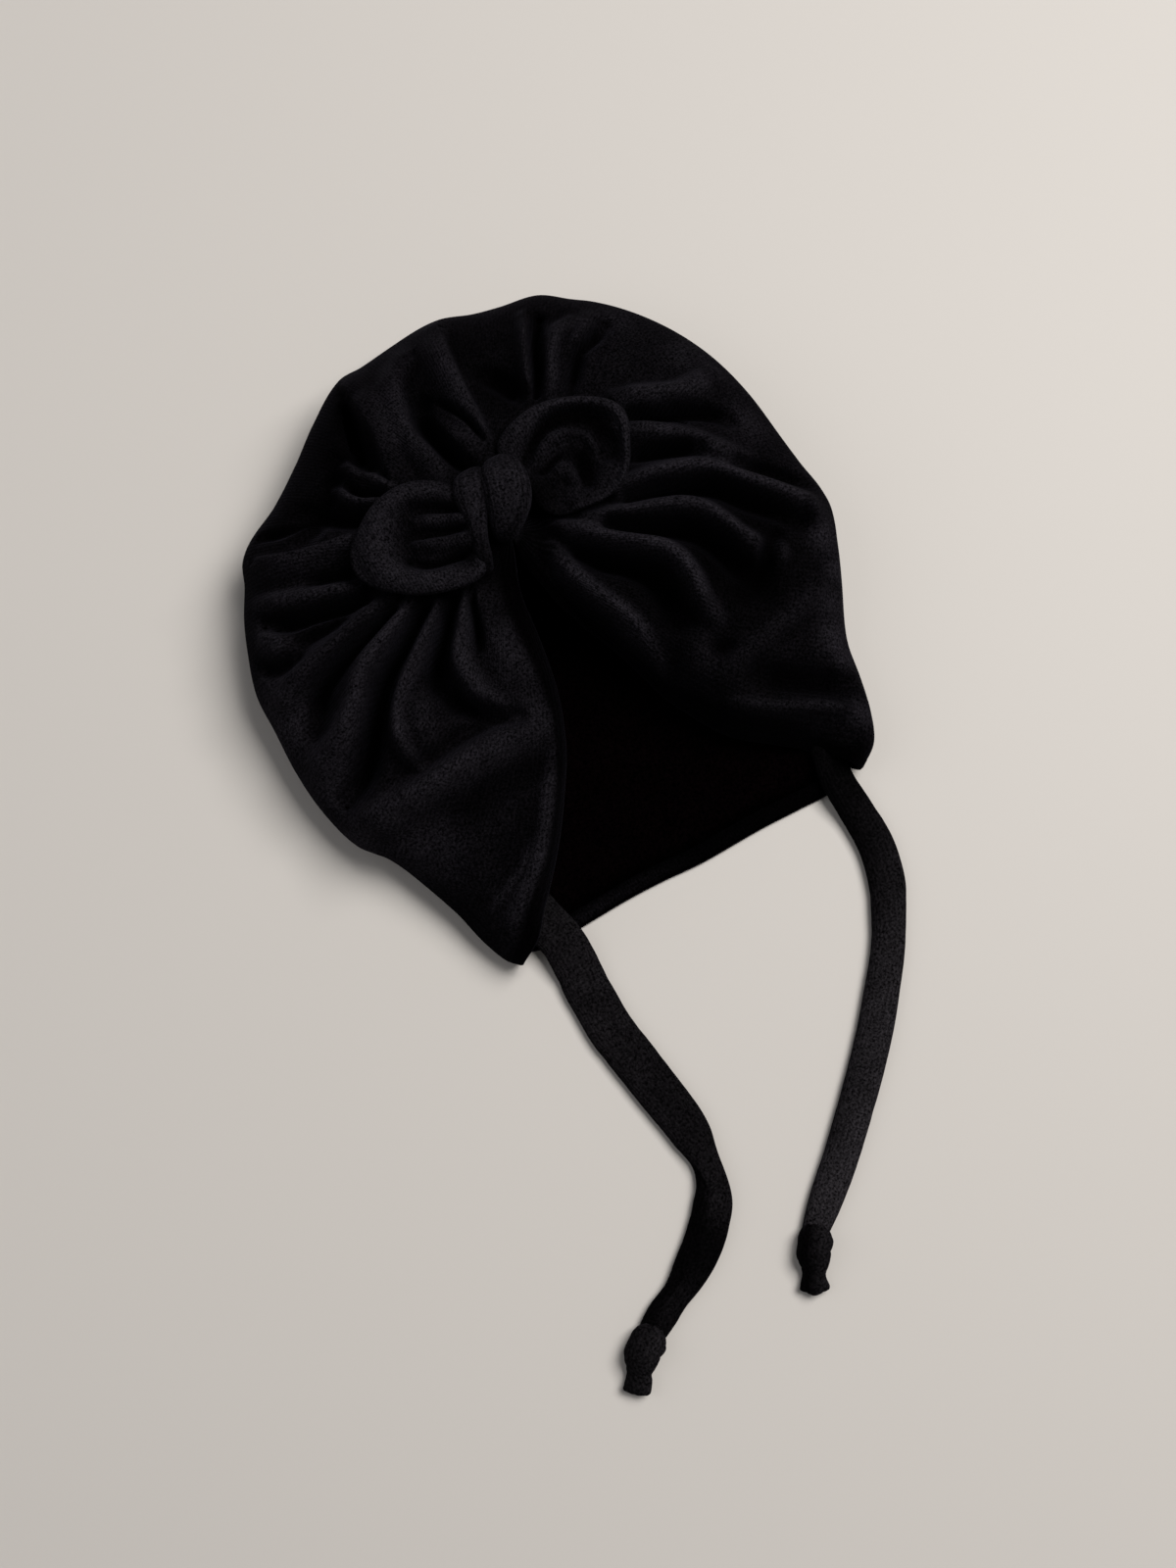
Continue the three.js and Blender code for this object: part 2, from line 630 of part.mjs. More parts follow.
function tieGeometry(tie) {
  const section = new THREE.Shape();
  for (let i = 0; i < tieSides; i += 1) {
    const angle = 2 * Math.PI * (i + 0.5) / tieSides;
    const corner = [Math.sin(angle) * tieThickness / 2, Math.cos(angle) * tie.width / 2];
    if (i === 0) section.moveTo(...corner);
    else section.lineTo(...corner);
  }
  section.closePath();
  return new THREE.ExtrudeGeometry(section, { steps: tie.steps, curveSegments: 1, extrudePath: tiePath(tie) });
}

// The knot at a tie's end, carried on in the tie's last direction and resting on the table
function endKnotGeometry(tie) {
  const last = new THREE.Vector3(...tie.route.at(-1));
  const run = tiePath(tie).getTangent(1).setZ(0).normalize();
  return rolledCloth(tie.knotStations.map(({ along, width, depth }) => {
    const at = last.clone().addScaledVector(run, along);
    return { at: [at.x, at.y, depth / 2 + 0.1], width, depth };
  }), run);
}

const bonnet = new THREE.Group();
const crown = cloth('crown', walled(crownSheet(), clothWall));
bonnet.add(crown);
for (const leaf of bowLeaves) bonnet.add(cloth(leaf.name, leafGeometry(leaf, crown)));
for (const band of knotBands) bonnet.add(cloth(band.name, rolledCloth(band.stations)));
for (const tie of ties) {
  bonnet.add(cloth(tie.name, tieGeometry(tie)));
  bonnet.add(cloth(tie.endKnot, endKnotGeometry(tie)));
}

export default bonnet;
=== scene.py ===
import math
import bpy
import numpy as np
from mathutils import Matrix, Vector, noise
from mathutils.bvhtree import BVHTree


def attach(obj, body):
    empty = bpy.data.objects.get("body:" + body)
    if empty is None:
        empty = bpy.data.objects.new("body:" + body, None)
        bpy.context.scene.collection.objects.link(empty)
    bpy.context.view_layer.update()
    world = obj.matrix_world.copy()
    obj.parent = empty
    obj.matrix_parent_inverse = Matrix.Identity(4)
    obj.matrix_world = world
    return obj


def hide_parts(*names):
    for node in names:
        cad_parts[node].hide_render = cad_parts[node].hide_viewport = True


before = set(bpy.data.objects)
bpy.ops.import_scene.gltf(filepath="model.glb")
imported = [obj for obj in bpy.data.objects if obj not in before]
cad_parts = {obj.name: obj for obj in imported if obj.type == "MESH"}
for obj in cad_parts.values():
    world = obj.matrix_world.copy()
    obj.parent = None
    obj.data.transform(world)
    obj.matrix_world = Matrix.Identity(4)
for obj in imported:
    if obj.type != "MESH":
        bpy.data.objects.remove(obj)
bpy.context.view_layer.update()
mm = 0.001  # tables below are in millimetres, in the bonnet's own frame
up = Vector((0, 0, 1))
print("frame loaded with", len(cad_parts), "nodes")


# Small helpers

def table(columns, *rows):  # rows of values under named columns
    return [dict(zip(columns.split(), row)) for row in rows]


def smooth(low, high, value):
    t = np.clip((value - low) / (high - low), 0, 1)
    return t * t * (3 - 2 * t)


def mixed(first, second, share):
    return first + (second - first) * share


def bump(value, middle, half):
    return np.exp(-((value - middle) / half) ** 2)


def tableCurve(rows, key, column):  # smooth curve through a table's rows
    x = np.array([row[key] for row in rows], float)
    y = np.array([row[column] for row in rows], float)
    before = np.maximum(np.arange(len(x)) - 1, 0)
    after = np.minimum(np.arange(len(x)) + 1, len(x) - 1)
    slope = (y[after] - y[before]) / (x[after] - x[before])

    def read(value):
        value = np.clip(value, x[0], x[-1])
        i = np.clip(np.searchsorted(x, value, side="right") - 1, 0, len(x) - 2)
        span = x[i + 1] - x[i]
        t = (value - x[i]) / span
        return ((2 * t**3 - 3 * t**2 + 1) * y[i] + (t**3 - 2 * t**2 + t) * span * slope[i]
                + (3 * t**2 - 2 * t**3) * y[i + 1] + (t**3 - t**2) * span * slope[i + 1])
    return read


def columnsAt(rows, key, value, *columns):  # several columns read at the same places
    return [tableCurve(rows, key, column)(value) for column in columns]


def splinePoints(points, count):  # even points on a smooth line through a few
    points = np.array(points, float)
    ends = np.vstack([2 * points[0] - points[1], points, 2 * points[-1] - points[-2]])
    line = []
    for i in range(1, len(ends) - 2):
        for t in np.linspace(0, 1, 24, endpoint=False):
            a, b, c, d = ends[i - 1:i + 3]
            line.append(0.5 * (2 * b + (c - a) * t + (2 * a - 5 * b + 4 * c - d) * t * t
                               + (3 * b - a - 3 * c + d) * t**3))
    line = np.array(line + [ends[-2]])
    run = np.concatenate([[0], np.cumsum(np.linalg.norm(np.diff(line, axis=0), axis=1))])
    even = np.linspace(0, run[-1], count)
    return np.column_stack([np.interp(even, run, line[:, k]) for k in range(line.shape[1])])


def nearestOn(path, x, y):  # distance to a line, share along it, and which side
    best = np.full(np.shape(x), 1e9)
    along = np.zeros(np.shape(x))
    side = np.ones(np.shape(x))
    for i in range(len(path) - 1):
        ax, ay = path[i]
        dx, dy = path[i + 1] - path[i]
        t = np.clip(((x - ax) * dx + (y - ay) * dy) / (dx * dx + dy * dy), 0, 1)
        px, py = x - ax - t * dx, y - ay - t * dy
        distance = np.hypot(px, py)
        closer = distance < best
        best = np.where(closer, distance, best)
        along = np.where(closer, (i + t) / (len(path) - 1), along)
        side = np.where(closer, np.sign(dx * py - dy * px), side)
    return best, along, side


def makePiece(name, points, faces, uv, materials, inner=None, paintedShade=None):
    mesh = bpy.data.meshes.new(name)
    places = [tuple(p) for p in np.asarray(points) * mm]
    mesh.from_pydata(places, [], [tuple(int(i) for i in f) for f in faces])
    layer = mesh.uv_layers.new(name="clothUv")
    index = np.zeros(len(mesh.loops), int)
    mesh.loops.foreach_get("vertex_index", index)
    layer.data.foreach_set("uv", (np.asarray(uv)[index] * mm).ravel())
    for material in materials:
        mesh.materials.append(material)
    if inner is not None:
        mesh.polygons.foreach_set("material_index", np.asarray(inner, int))
    # painted shade for each point, read by the cloth material
    if paintedShade is not None:
        mesh.attributes.new("paintedShade", "FLOAT", "POINT").data.foreach_set("value", np.asarray(paintedShade, float))
    mesh.polygons.foreach_set("use_smooth", np.ones(len(mesh.polygons), bool))
    mesh.update()
    piece = bpy.data.objects.new(name, mesh)
    bpy.context.scene.collection.objects.link(piece)
    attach(piece, "root")
    return piece


def quads(lower, upper, closed=False):  # faces between two rows of vertex numbers
    pairs = list(zip(lower, upper))
    following = pairs[1:] + pairs[:1] if closed else pairs[1:]
    return [(a, b, c, d) for (a, d), (b, c) in zip(pairs, following)]


def roll(x, y, z, size):  # soft wandering unevenness, one value for each point
    places = zip(np.ravel(x), np.ravel(y), np.ravel(z))
    return np.array([noise.noise(Vector(place) / size) for place in places]).reshape(np.shape(x))


# Camera where the photograph was taken from, turned as the bonnet lies in it

photoView = dict(
    aim=(-16.5, -46.2, 25),  # what the middle of the picture looks at
    distance=650,
    elevation=83,
    turn=-31,
    sensor=36,
    pictureHeight=1600,
    focal=2210,  # pixels, in the 1200 by 1600 picture
)


def placeCamera(view):
    turn, lift = math.radians(view["turn"]), math.radians(view["elevation"])
    rightWay = Vector((math.cos(turn), math.sin(turn), 0))
    ahead = Vector((-math.sin(turn), math.cos(turn), 0))
    look = ahead * math.cos(lift) - up * math.sin(lift)
    data = bpy.data.cameras.new("photoCamera")
    data.sensor_width = view["sensor"]
    data.lens = view["sensor"] * view["focal"] / view["pictureHeight"]
    camera = bpy.data.objects.new("photoCamera", data)
    bpy.context.scene.collection.objects.link(camera)
    camera.location = (Vector(view["aim"]) - look * view["distance"]) * mm
    camera.rotation_euler = Matrix((rightWay, rightWay.cross(look), -look)).transposed().to_euler()
    bpy.context.scene.camera = camera


placeCamera(photoView)
print("camera placed")


# Cloth

def nodeGroup(name, inputs, outputs):
    group = bpy.data.node_groups.new(name, "ShaderNodeTree")
    for way, sockets in (("INPUT", inputs), ("OUTPUT", outputs)):
        for label, kind in sockets:
            group.interface.new_socket(label, in_out=way, socket_type="NodeSocket" + kind)
    return group, group.nodes.new("NodeGroupInput"), group.nodes.new("NodeGroupOutput")


def addNode(tree, kind, links=(), **values):
    node = tree.nodes.new(kind)
    for key, value in values.items():
        setattr(node, key, value)
    for socket, source in links:
        if hasattr(source, "is_output"):
            tree.links.new(source, node.inputs[socket])
        else:
            node.inputs[socket].default_value = source
    return node


def colourSocket(sockets, name, kind="RGBA"):  # a mix node has a socket of each name for every kind of data
    return [s for s in sockets if s.name == name and s.type == kind][0]


def makeNapShadeGroup():
    # pile brushed this way and that, its grain, and the knit's fine ribs under it;
    # the attribute read here paints in shade and highlights, mixing from the Dark colour to the Light one
    group, start, end = nodeGroup(
        "velourNapAndShade",
        [("Brushing", "Float"), ("Pile", "Float"), ("Ribs", "Float"), ("Dark", "Color"), ("Light", "Color")],
        [("Color", "Color"), ("Roughness", "Float"), ("Normal", "Vector")],
    )
    place = addNode(group, "ShaderNodeTexCoord").outputs

    def times(a, b):
        return addNode(group, "ShaderNodeMath", [(0, a), (1, b)], operation="MULTIPLY").outputs[0]

    def spread(source, least, most, fromLeast=0.0, fromMost=1.0):
        ends = [("From Min", fromLeast), ("From Max", fromMost), ("To Min", least), ("To Max", most)]
        return addNode(group, "ShaderNodeMapRange", [("Value", source)] + ends).outputs[0]

    brushed = addNode(group, "ShaderNodeTexNoise", [
        ("Vector", place["Object"]), ("Scale", start.outputs["Brushing"]),
        ("Detail", 5.0), ("Roughness", 0.62), ("Distortion", 0.5)]).outputs["Fac"]
    pile = addNode(group, "ShaderNodeTexNoise", [
        ("Vector", place["Object"]), ("Scale", start.outputs["Pile"]),
        ("Detail", 2.0), ("Roughness", 0.7)]).outputs["Fac"]
    ribs = addNode(group, "ShaderNodeTexWave", [
        ("Vector", place["UV"]), ("Scale", start.outputs["Ribs"]),
        ("Distortion", 3.0), ("Detail", 2.0), ("Detail Scale", 1.5)],
        wave_type="BANDS", bands_direction="X", wave_profile="SIN").outputs["Fac"]
    grain = spread(pile, 0.1, 1.9, 0.34, 0.66)
    swirl = spread(brushed, 0.72, 1.28, 0.3, 0.7)
    knit = spread(ribs, 0.84, 1.16)
    speckle = times(grain, times(swirl, knit))
    foldAndShade = addNode(group, "ShaderNodeAttribute", attribute_name="paintedShade").outputs["Fac"]
    litPile = addNode(group, "ShaderNodeMath", [(0, 1.0), (1, foldAndShade)], operation="SUBTRACT").outputs[0]
    colour = addNode(group, "ShaderNodeMix", data_type="RGBA")
    group.links.new(litPile, colourSocket(colour.inputs, "Factor", "VALUE"))
    group.links.new(start.outputs["Dark"], colourSocket(colour.inputs, "A"))
    group.links.new(start.outputs["Light"], colourSocket(colour.inputs, "B"))
    shaded = addNode(group, "ShaderNodeVectorMath", [
        (0, colourSocket(colour.outputs, "Result")), ("Scale", speckle)], operation="SCALE").outputs[0]
    height = addNode(group, "ShaderNodeMath", [(0, ribs), (1, 0.35), (2, pile)], operation="MULTIPLY_ADD")
    relief = addNode(group, "ShaderNodeBump", [
        ("Strength", 0.5), ("Distance", 0.0006), ("Height", height.outputs[0])]).outputs[0]
    group.links.new(shaded, end.inputs["Color"])
    group.links.new(spread(brushed, 0.78, 1.0), end.inputs["Roughness"])
    group.links.new(relief, end.inputs["Normal"])
    return group


napShadeGroup = makeNapShadeGroup()


def clothMaterial(name, look):
    material = bpy.data.materials.new(name)
    material.use_nodes = True
    tree = material.node_tree
    shader = tree.nodes["Principled BSDF"]
    nap = addNode(tree, "ShaderNodeGroup", node_tree=napShadeGroup)
    for socket in ("Brushing", "Pile", "Ribs"):
        nap.inputs[socket].default_value = look[socket.lower()]
    for socket in ("Dark", "Light"):
        nap.inputs[socket].default_value = (*look[socket.lower()], 1)
    for output, socket in (("Color", "Base Color"), ("Roughness", "Roughness"), ("Normal", "Normal")):
        tree.links.new(nap.outputs[output], shader.inputs[socket])
    shader.inputs["Specular IOR Level"].default_value = look["specular"]
    shader.inputs["Sheen Weight"].default_value = look["sheen"]
    shader.inputs["Sheen Roughness"].default_value = look["sheenRoughness"]
    shader.inputs["Sheen Tint"].default_value = (*look["sheenTint"], 1)
    return material


# dark and light: the painted shade and the painted highlight that the cloth's colour is mixed between
velourLook = dict(
    brushing=110, pile=1350, ribs=340, dark=(0.0003, 0.0002, 0.00025), light=(0.0087, 0.0078, 0.0098),
    specular=0.004, sheen=0.012, sheenRoughness=0.42, sheenTint=(0.8, 0.74, 1),
)
# the ties' Light colour is lighter than the hood's: painted light on the same velour
tieLook = dict(
    brushing=110, pile=1350, ribs=340, dark=(0.0005, 0.0004, 0.0005), light=(0.0145, 0.0131, 0.0149),
    specular=0.01, sheen=0.012, sheenRoughness=0.42, sheenTint=(0.86, 0.8, 1),
)
# the cloth's back: its own reddish black, darkened further as painted shade for inside the hood
backAndShadeLook = dict(
    brushing=90, pile=1300, ribs=560, dark=(0.0002, 0.0001, 0.0001), light=(0.00078, 0.00034, 0.00044),
    specular=0, sheen=0, sheenRoughness=0.5, sheenTint=(1, 0.7, 0.7),
)
velour = clothMaterial("blackVelour", velourLook)
tieVelour = clothMaterial("tieVelour", tieLook)
clothBackAndShade = clothMaterial("velourBackAndShade", backAndShadeLook)
print("cloth materials made")


# Ties: flat sewn tubes, lying on the table

tieLeft = dict(
    name="tieLeft", node="tie_left",
    route=[
        (-50.5, -65, 5.4), (-49, -71.5, 5.4), (-47.8, -78, 5.4), (-47, -84.5, 4.9), (-47.1, -92, 2.8),
        (-48, -99, 2.3), (-48, -111.5, 2.3), (-46.5, -125.5, 2.3), (-44.5, -140.5, 2.3),
        (-43.5, -155.5, 2.3), (-46, -169, 2.3), (-54.6, -179.6, 2.3), (-66, -187.6, 2.3),
        (-77, -192.8, 2.3), (-84.6, -196.6, 2.3),
    ],
    sections=table(
        "share width depth",
        (0, 13.6, 3.6), (0.2, 14.2, 3.8), (0.45, 14, 3.8), (0.57, 12.6, 4.2), (0.63, 9, 5.2),
        (0.67, 9.6, 5.4), (0.72, 12, 4.8), (0.84, 11.8, 4.4), (0.91, 9, 4.6), (0.96, 9.6, 4.4),
        (1, 8.6, 4.2),
    ),
    diameter=14,
    # where the tube is folded over: the fold line's place across it, and the painted light and shade on its
    # two sides
    fold=table(
        "share at left right",
        (0, 0, 0.42, 0.36), (0.12, 0, 0.44, 0.38), (0.26, 0, 0.42, 0.36), (0.45, 0, 0.27, 0.24),
        (0.6, 1, 0.27, 0.25), (0.64, 0.9, 0.03, 0.27), (0.69, 0.45, 0.03, 0.3), (0.74, 0.25, 0.02, 0.2),
        (0.78, 0.1, 0.02, 0.07), (0.86, 0.2, 0.03, 0.07), (0.92, 0.3, 0.05, 0.17), (1, 0, 0.03, 0.09),
    ),
    crease=dict(low=0.6, high=0.98, depth=1.5, softness=0.12),
)
tieRight = dict(
    name="tieRight", node="tie_right",
    route=[
        (55.5, -67.5, 5.4), (53.5, -73.5, 5.4), (52, -79.5, 5.4), (51.5, -86, 4.9), (52, -94, 2.8),
        (51.5, -105.5, 2.3), (49, -116, 2.3), (44, -125.5, 2.3), (37.5, -135.5, 2.3), (29.8, -144.6, 2.3),
        (21.8, -153.6, 2.3), (12.4, -163, 2.3), (2.2, -172.4, 2.3), (-8.4, -181.8, 2.3),
        (-18.4, -189.8, 2.3), (-26.6, -196.4, 2.3),
    ],
    sections=table(
        "share width depth",
        (0, 9, 4.4), (0.12, 10.6, 4.4), (0.3, 11.6, 4.4), (0.42, 10.6, 4.6), (0.6, 11.2, 4.4),
        (0.88, 10.8, 4.4), (0.95, 10, 4.4), (1, 8.2, 4.2),
    ),
    diameter=11.2,
    # the right tie's painted light and shade on its two sides, dark near the hood
    fold=table(
        "share at left right",
        (0, 0, 0.05, 0.05), (0.12, 0, 0.05, 0.08), (0.2, 0, 0.07, 0.2), (0.28, 0, 0.15, 0.36),
        (0.36, 0, 0.25, 0.5), (0.45, 0, 0.52, 0.75), (0.6, 0, 0.68, 0.95), (0.75, 0, 0.5, 0.95),
        (0.9, 0, 0.75, 1), (1, 0, 0.6, 1),
    ),
    crease=dict(low=0, high=0.2, depth=0.7, softness=0.9),
)
tieMesh = dict(
    rings=170, sides=32, floor=0.15,
    stray=0.35, strayWaves=14,  # how far the route wanders, and how often
    swell=0.035, foldBlend=0.08, grooveHalf=0.16,
)


def sweptTube(line, widths, depths, sides, floorHeight, shape):
    # rounded flat section carried along a line; shape() moves each ring's radii a little
    run = np.gradient(line, axis=0)
    run /= np.linalg.norm(run, axis=1)[:, None]
    length = np.concatenate([[0], np.cumsum(np.linalg.norm(np.diff(line, axis=0), axis=1))])
    angles = np.linspace(0, 2 * math.pi, sides, endpoint=False)
    c, s = np.cos(angles), np.sin(angles)
    wide, tall = np.sign(c) * np.abs(c) ** 0.8 / 2, np.sign(s) * np.abs(s) ** 0.9 / 2
    points, uv = [], []
    for i, (at, ahead) in enumerate(zip(line, run)):
        across = np.cross(ahead, (0, 0, 1))
        across /= np.linalg.norm(across)
        rise = np.cross(across, ahead)
        grow = shape(i / (len(line) - 1), angles)
        ring = at + np.outer(wide * widths[i] * grow, across) + np.outer(tall * depths[i] * grow, rise)
        ring[:, 2] = np.maximum(ring[:, 2], floorHeight)
        points.append(ring)
        uv.append(np.column_stack([angles * widths[i] / 3, np.full(sides, length[i])]))
    rows = [list(range(i * sides, (i + 1) * sides)) for i in range(len(line))]
    faces = [f[::-1] for lower, upper in zip(rows, rows[1:]) for f in quads(lower, upper, closed=True)]
    first = len(line) * sides
    faces += [(rows[0][i], rows[0][(i + 1) % sides], first) for i in range(sides)]
    faces += [(rows[-1][(i + 1) % sides], rows[-1][i], first + 1) for i in range(sides)]
    uv += [[0, 0], [0, length[-1]]]
    return np.vstack(points + [line[0], line[-1]]), faces, np.vstack(uv), length[-1]


def sideTone(left, right, at, softness, sides):
    # painted light and shade round each ring of a tube, from its left to its right side, and at its two ends
    left, right, at = [np.asarray(value)[:, None] for value in (left, right, at)]
    across = np.cos(np.linspace(0, 2 * math.pi, sides, endpoint=False))[None, :]
    tone = mixed(right, left, smooth(-softness, softness, across - at))
    return np.clip(np.concatenate([tone.ravel(), tone[[0, -1]].mean(1)]), 0, 1)


def makeTie(tie):
    line = splinePoints(tie["route"], tieMesh["rings"])
    share = np.linspace(0, 1, tieMesh["rings"])
    width, depth = columnsAt(tie["sections"], "share", share, "width", "depth")
    foldAt, leftTone, rightTone = columnsAt(tie["fold"], "share", share, "at", "left", "right")
    crease, blend = tie["crease"], tieMesh["foldBlend"]
    stray = [noise.noise(Vector((s * tieMesh["strayWaves"], tie["diameter"], 0))) for s in share]
    line[:, :2] += (np.array(stray) * tieMesh["stray"])[:, None]

    def shape(along, angles):
        waves = np.sin(angles * 2 + along * 40) * noise.noise(Vector((along * 30, 3, 0)))
        foldAndShade = smooth(crease["low"], crease["low"] + blend, along)
        foldAndShade = foldAndShade * (1 - smooth(crease["high"] - blend, crease["high"], along))
        at = np.interp(along, share, foldAt)
        groove = crease["depth"] / 4 * foldAndShade * bump(np.cos(angles), at, tieMesh["grooveHalf"])
        return 1 + tieMesh["swell"] * waves - groove * (np.sin(angles) > 0)

    points, faces, uv, length = sweptTube(line, width, depth, tieMesh["sides"], tieMesh["floor"], shape)
    paintedShade = 1 - sideTone(leftTone, rightTone, foldAt, crease["softness"], tieMesh["sides"])
    piece = makePiece(tie["name"], points, faces, uv, [tieVelour], paintedShade=paintedShade)
    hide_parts(tie["node"])
    return piece, line, length


# The knot and short open tail at each tie's end

# left and right: painted light on each side of the knot
endKnots = dict(
    left=dict(name="tieKnotLeft", node="tie_knot_left", width=11, depth=8, turn=(5, 32), left=0.26,
              right=0.45, lobes=3),
    right=dict(name="tieKnotRight", node="tie_knot_right", width=10.4, depth=7.6, turn=(16, 22), left=0.02,
               right=0.4, lobes=4),
)
endKnotShape = dict(
    rings=70, sides=44, floor=0.15, softness=0.5,
    wrapAt=4.5, wrap=0.08, gather=0.04, turning=(0, 16),
    fray=0.14, frayed=(13.5, 17),  # the tail's open end
)
# s runs along the knot from the tie's end; width and depth are shares of the knot's own
endKnotStations = table(
    "s width depth",
    (-2, 0.6, 0.5), (-0.4, 0.8, 0.7), (1.6, 0.97, 0.94), (4.5, 1, 1), (7.6, 0.95, 0.94), (10, 0.82, 0.8),
    (12, 0.68, 0.66), (13.6, 0.7, 0.62), (15.6, 0.76, 0.6), (17, 0.74, 0.56), (17.6, 0.5, 0.4),
)


def makeEndKnot(knot, line):
    shaping = endKnotShape
    last, before = line[-1], line[-12]
    heading = math.atan2(last[1] - before[1], last[0] - before[0])
    s = np.linspace(endKnotStations[0]["s"], endKnotStations[-1]["s"], shaping["rings"])
    width, depth = columnsAt(endKnotStations, "s", s, "width", "depth")
    width, depth = width * knot["width"], depth * knot["depth"]
    turn = heading + np.radians(mixed(*knot["turn"], smooth(*shaping["turning"], s)))
    x, y = np.cumsum(np.cos(turn) * np.gradient(s)), np.cumsum(np.sin(turn) * np.gradient(s))
    path = np.column_stack([x, y, depth / 2 + 0.2])
    path[:, :2] += last[:2] - path[np.argmin(np.abs(s)), :2]

    def shape(along, angles):
        at = s[0] + along * (s[-1] - s[0])
        overlap = at - shaping["wrapAt"] - 3 * np.cos(angles - 0.6)
        wrap = shaping["wrap"] * bump(overlap, 0, 2) - shaping["wrap"] * bump(overlap, 3, 0.8)
        gather = shaping["gather"] * np.cos(angles * 9 + at) * (1 - bump(at, 5, 3))
        fray = shaping["fray"] * np.cos(angles * knot["lobes"]) * smooth(*shaping["frayed"], at)
        return 1 + wrap + gather + fray

    points, faces, uv, _ = sweptTube(path, width, depth, shaping["sides"], shaping["floor"], shape)
    tones = [np.full(len(s), knot[side]) for side in ("left", "right")]
    paintedShade = 1 - sideTone(*tones, s * 0, shaping["softness"], shaping["sides"])
    piece = makePiece(knot["name"], points, faces, uv, [tieVelour], paintedShade=paintedShade)
    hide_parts(knot["node"])
    return piece


for tie, knot in ((tieLeft, endKnots["left"]), (tieRight, endKnots["right"])):
    piece, line, length = makeTie(tie)
    endPiece = makeEndKnot(knot, line)
    print(tie["name"], "is", round(length, 1), "mm long")


# The hood: back of the cloth on the table, up over the rim and in to the gather, with its folds

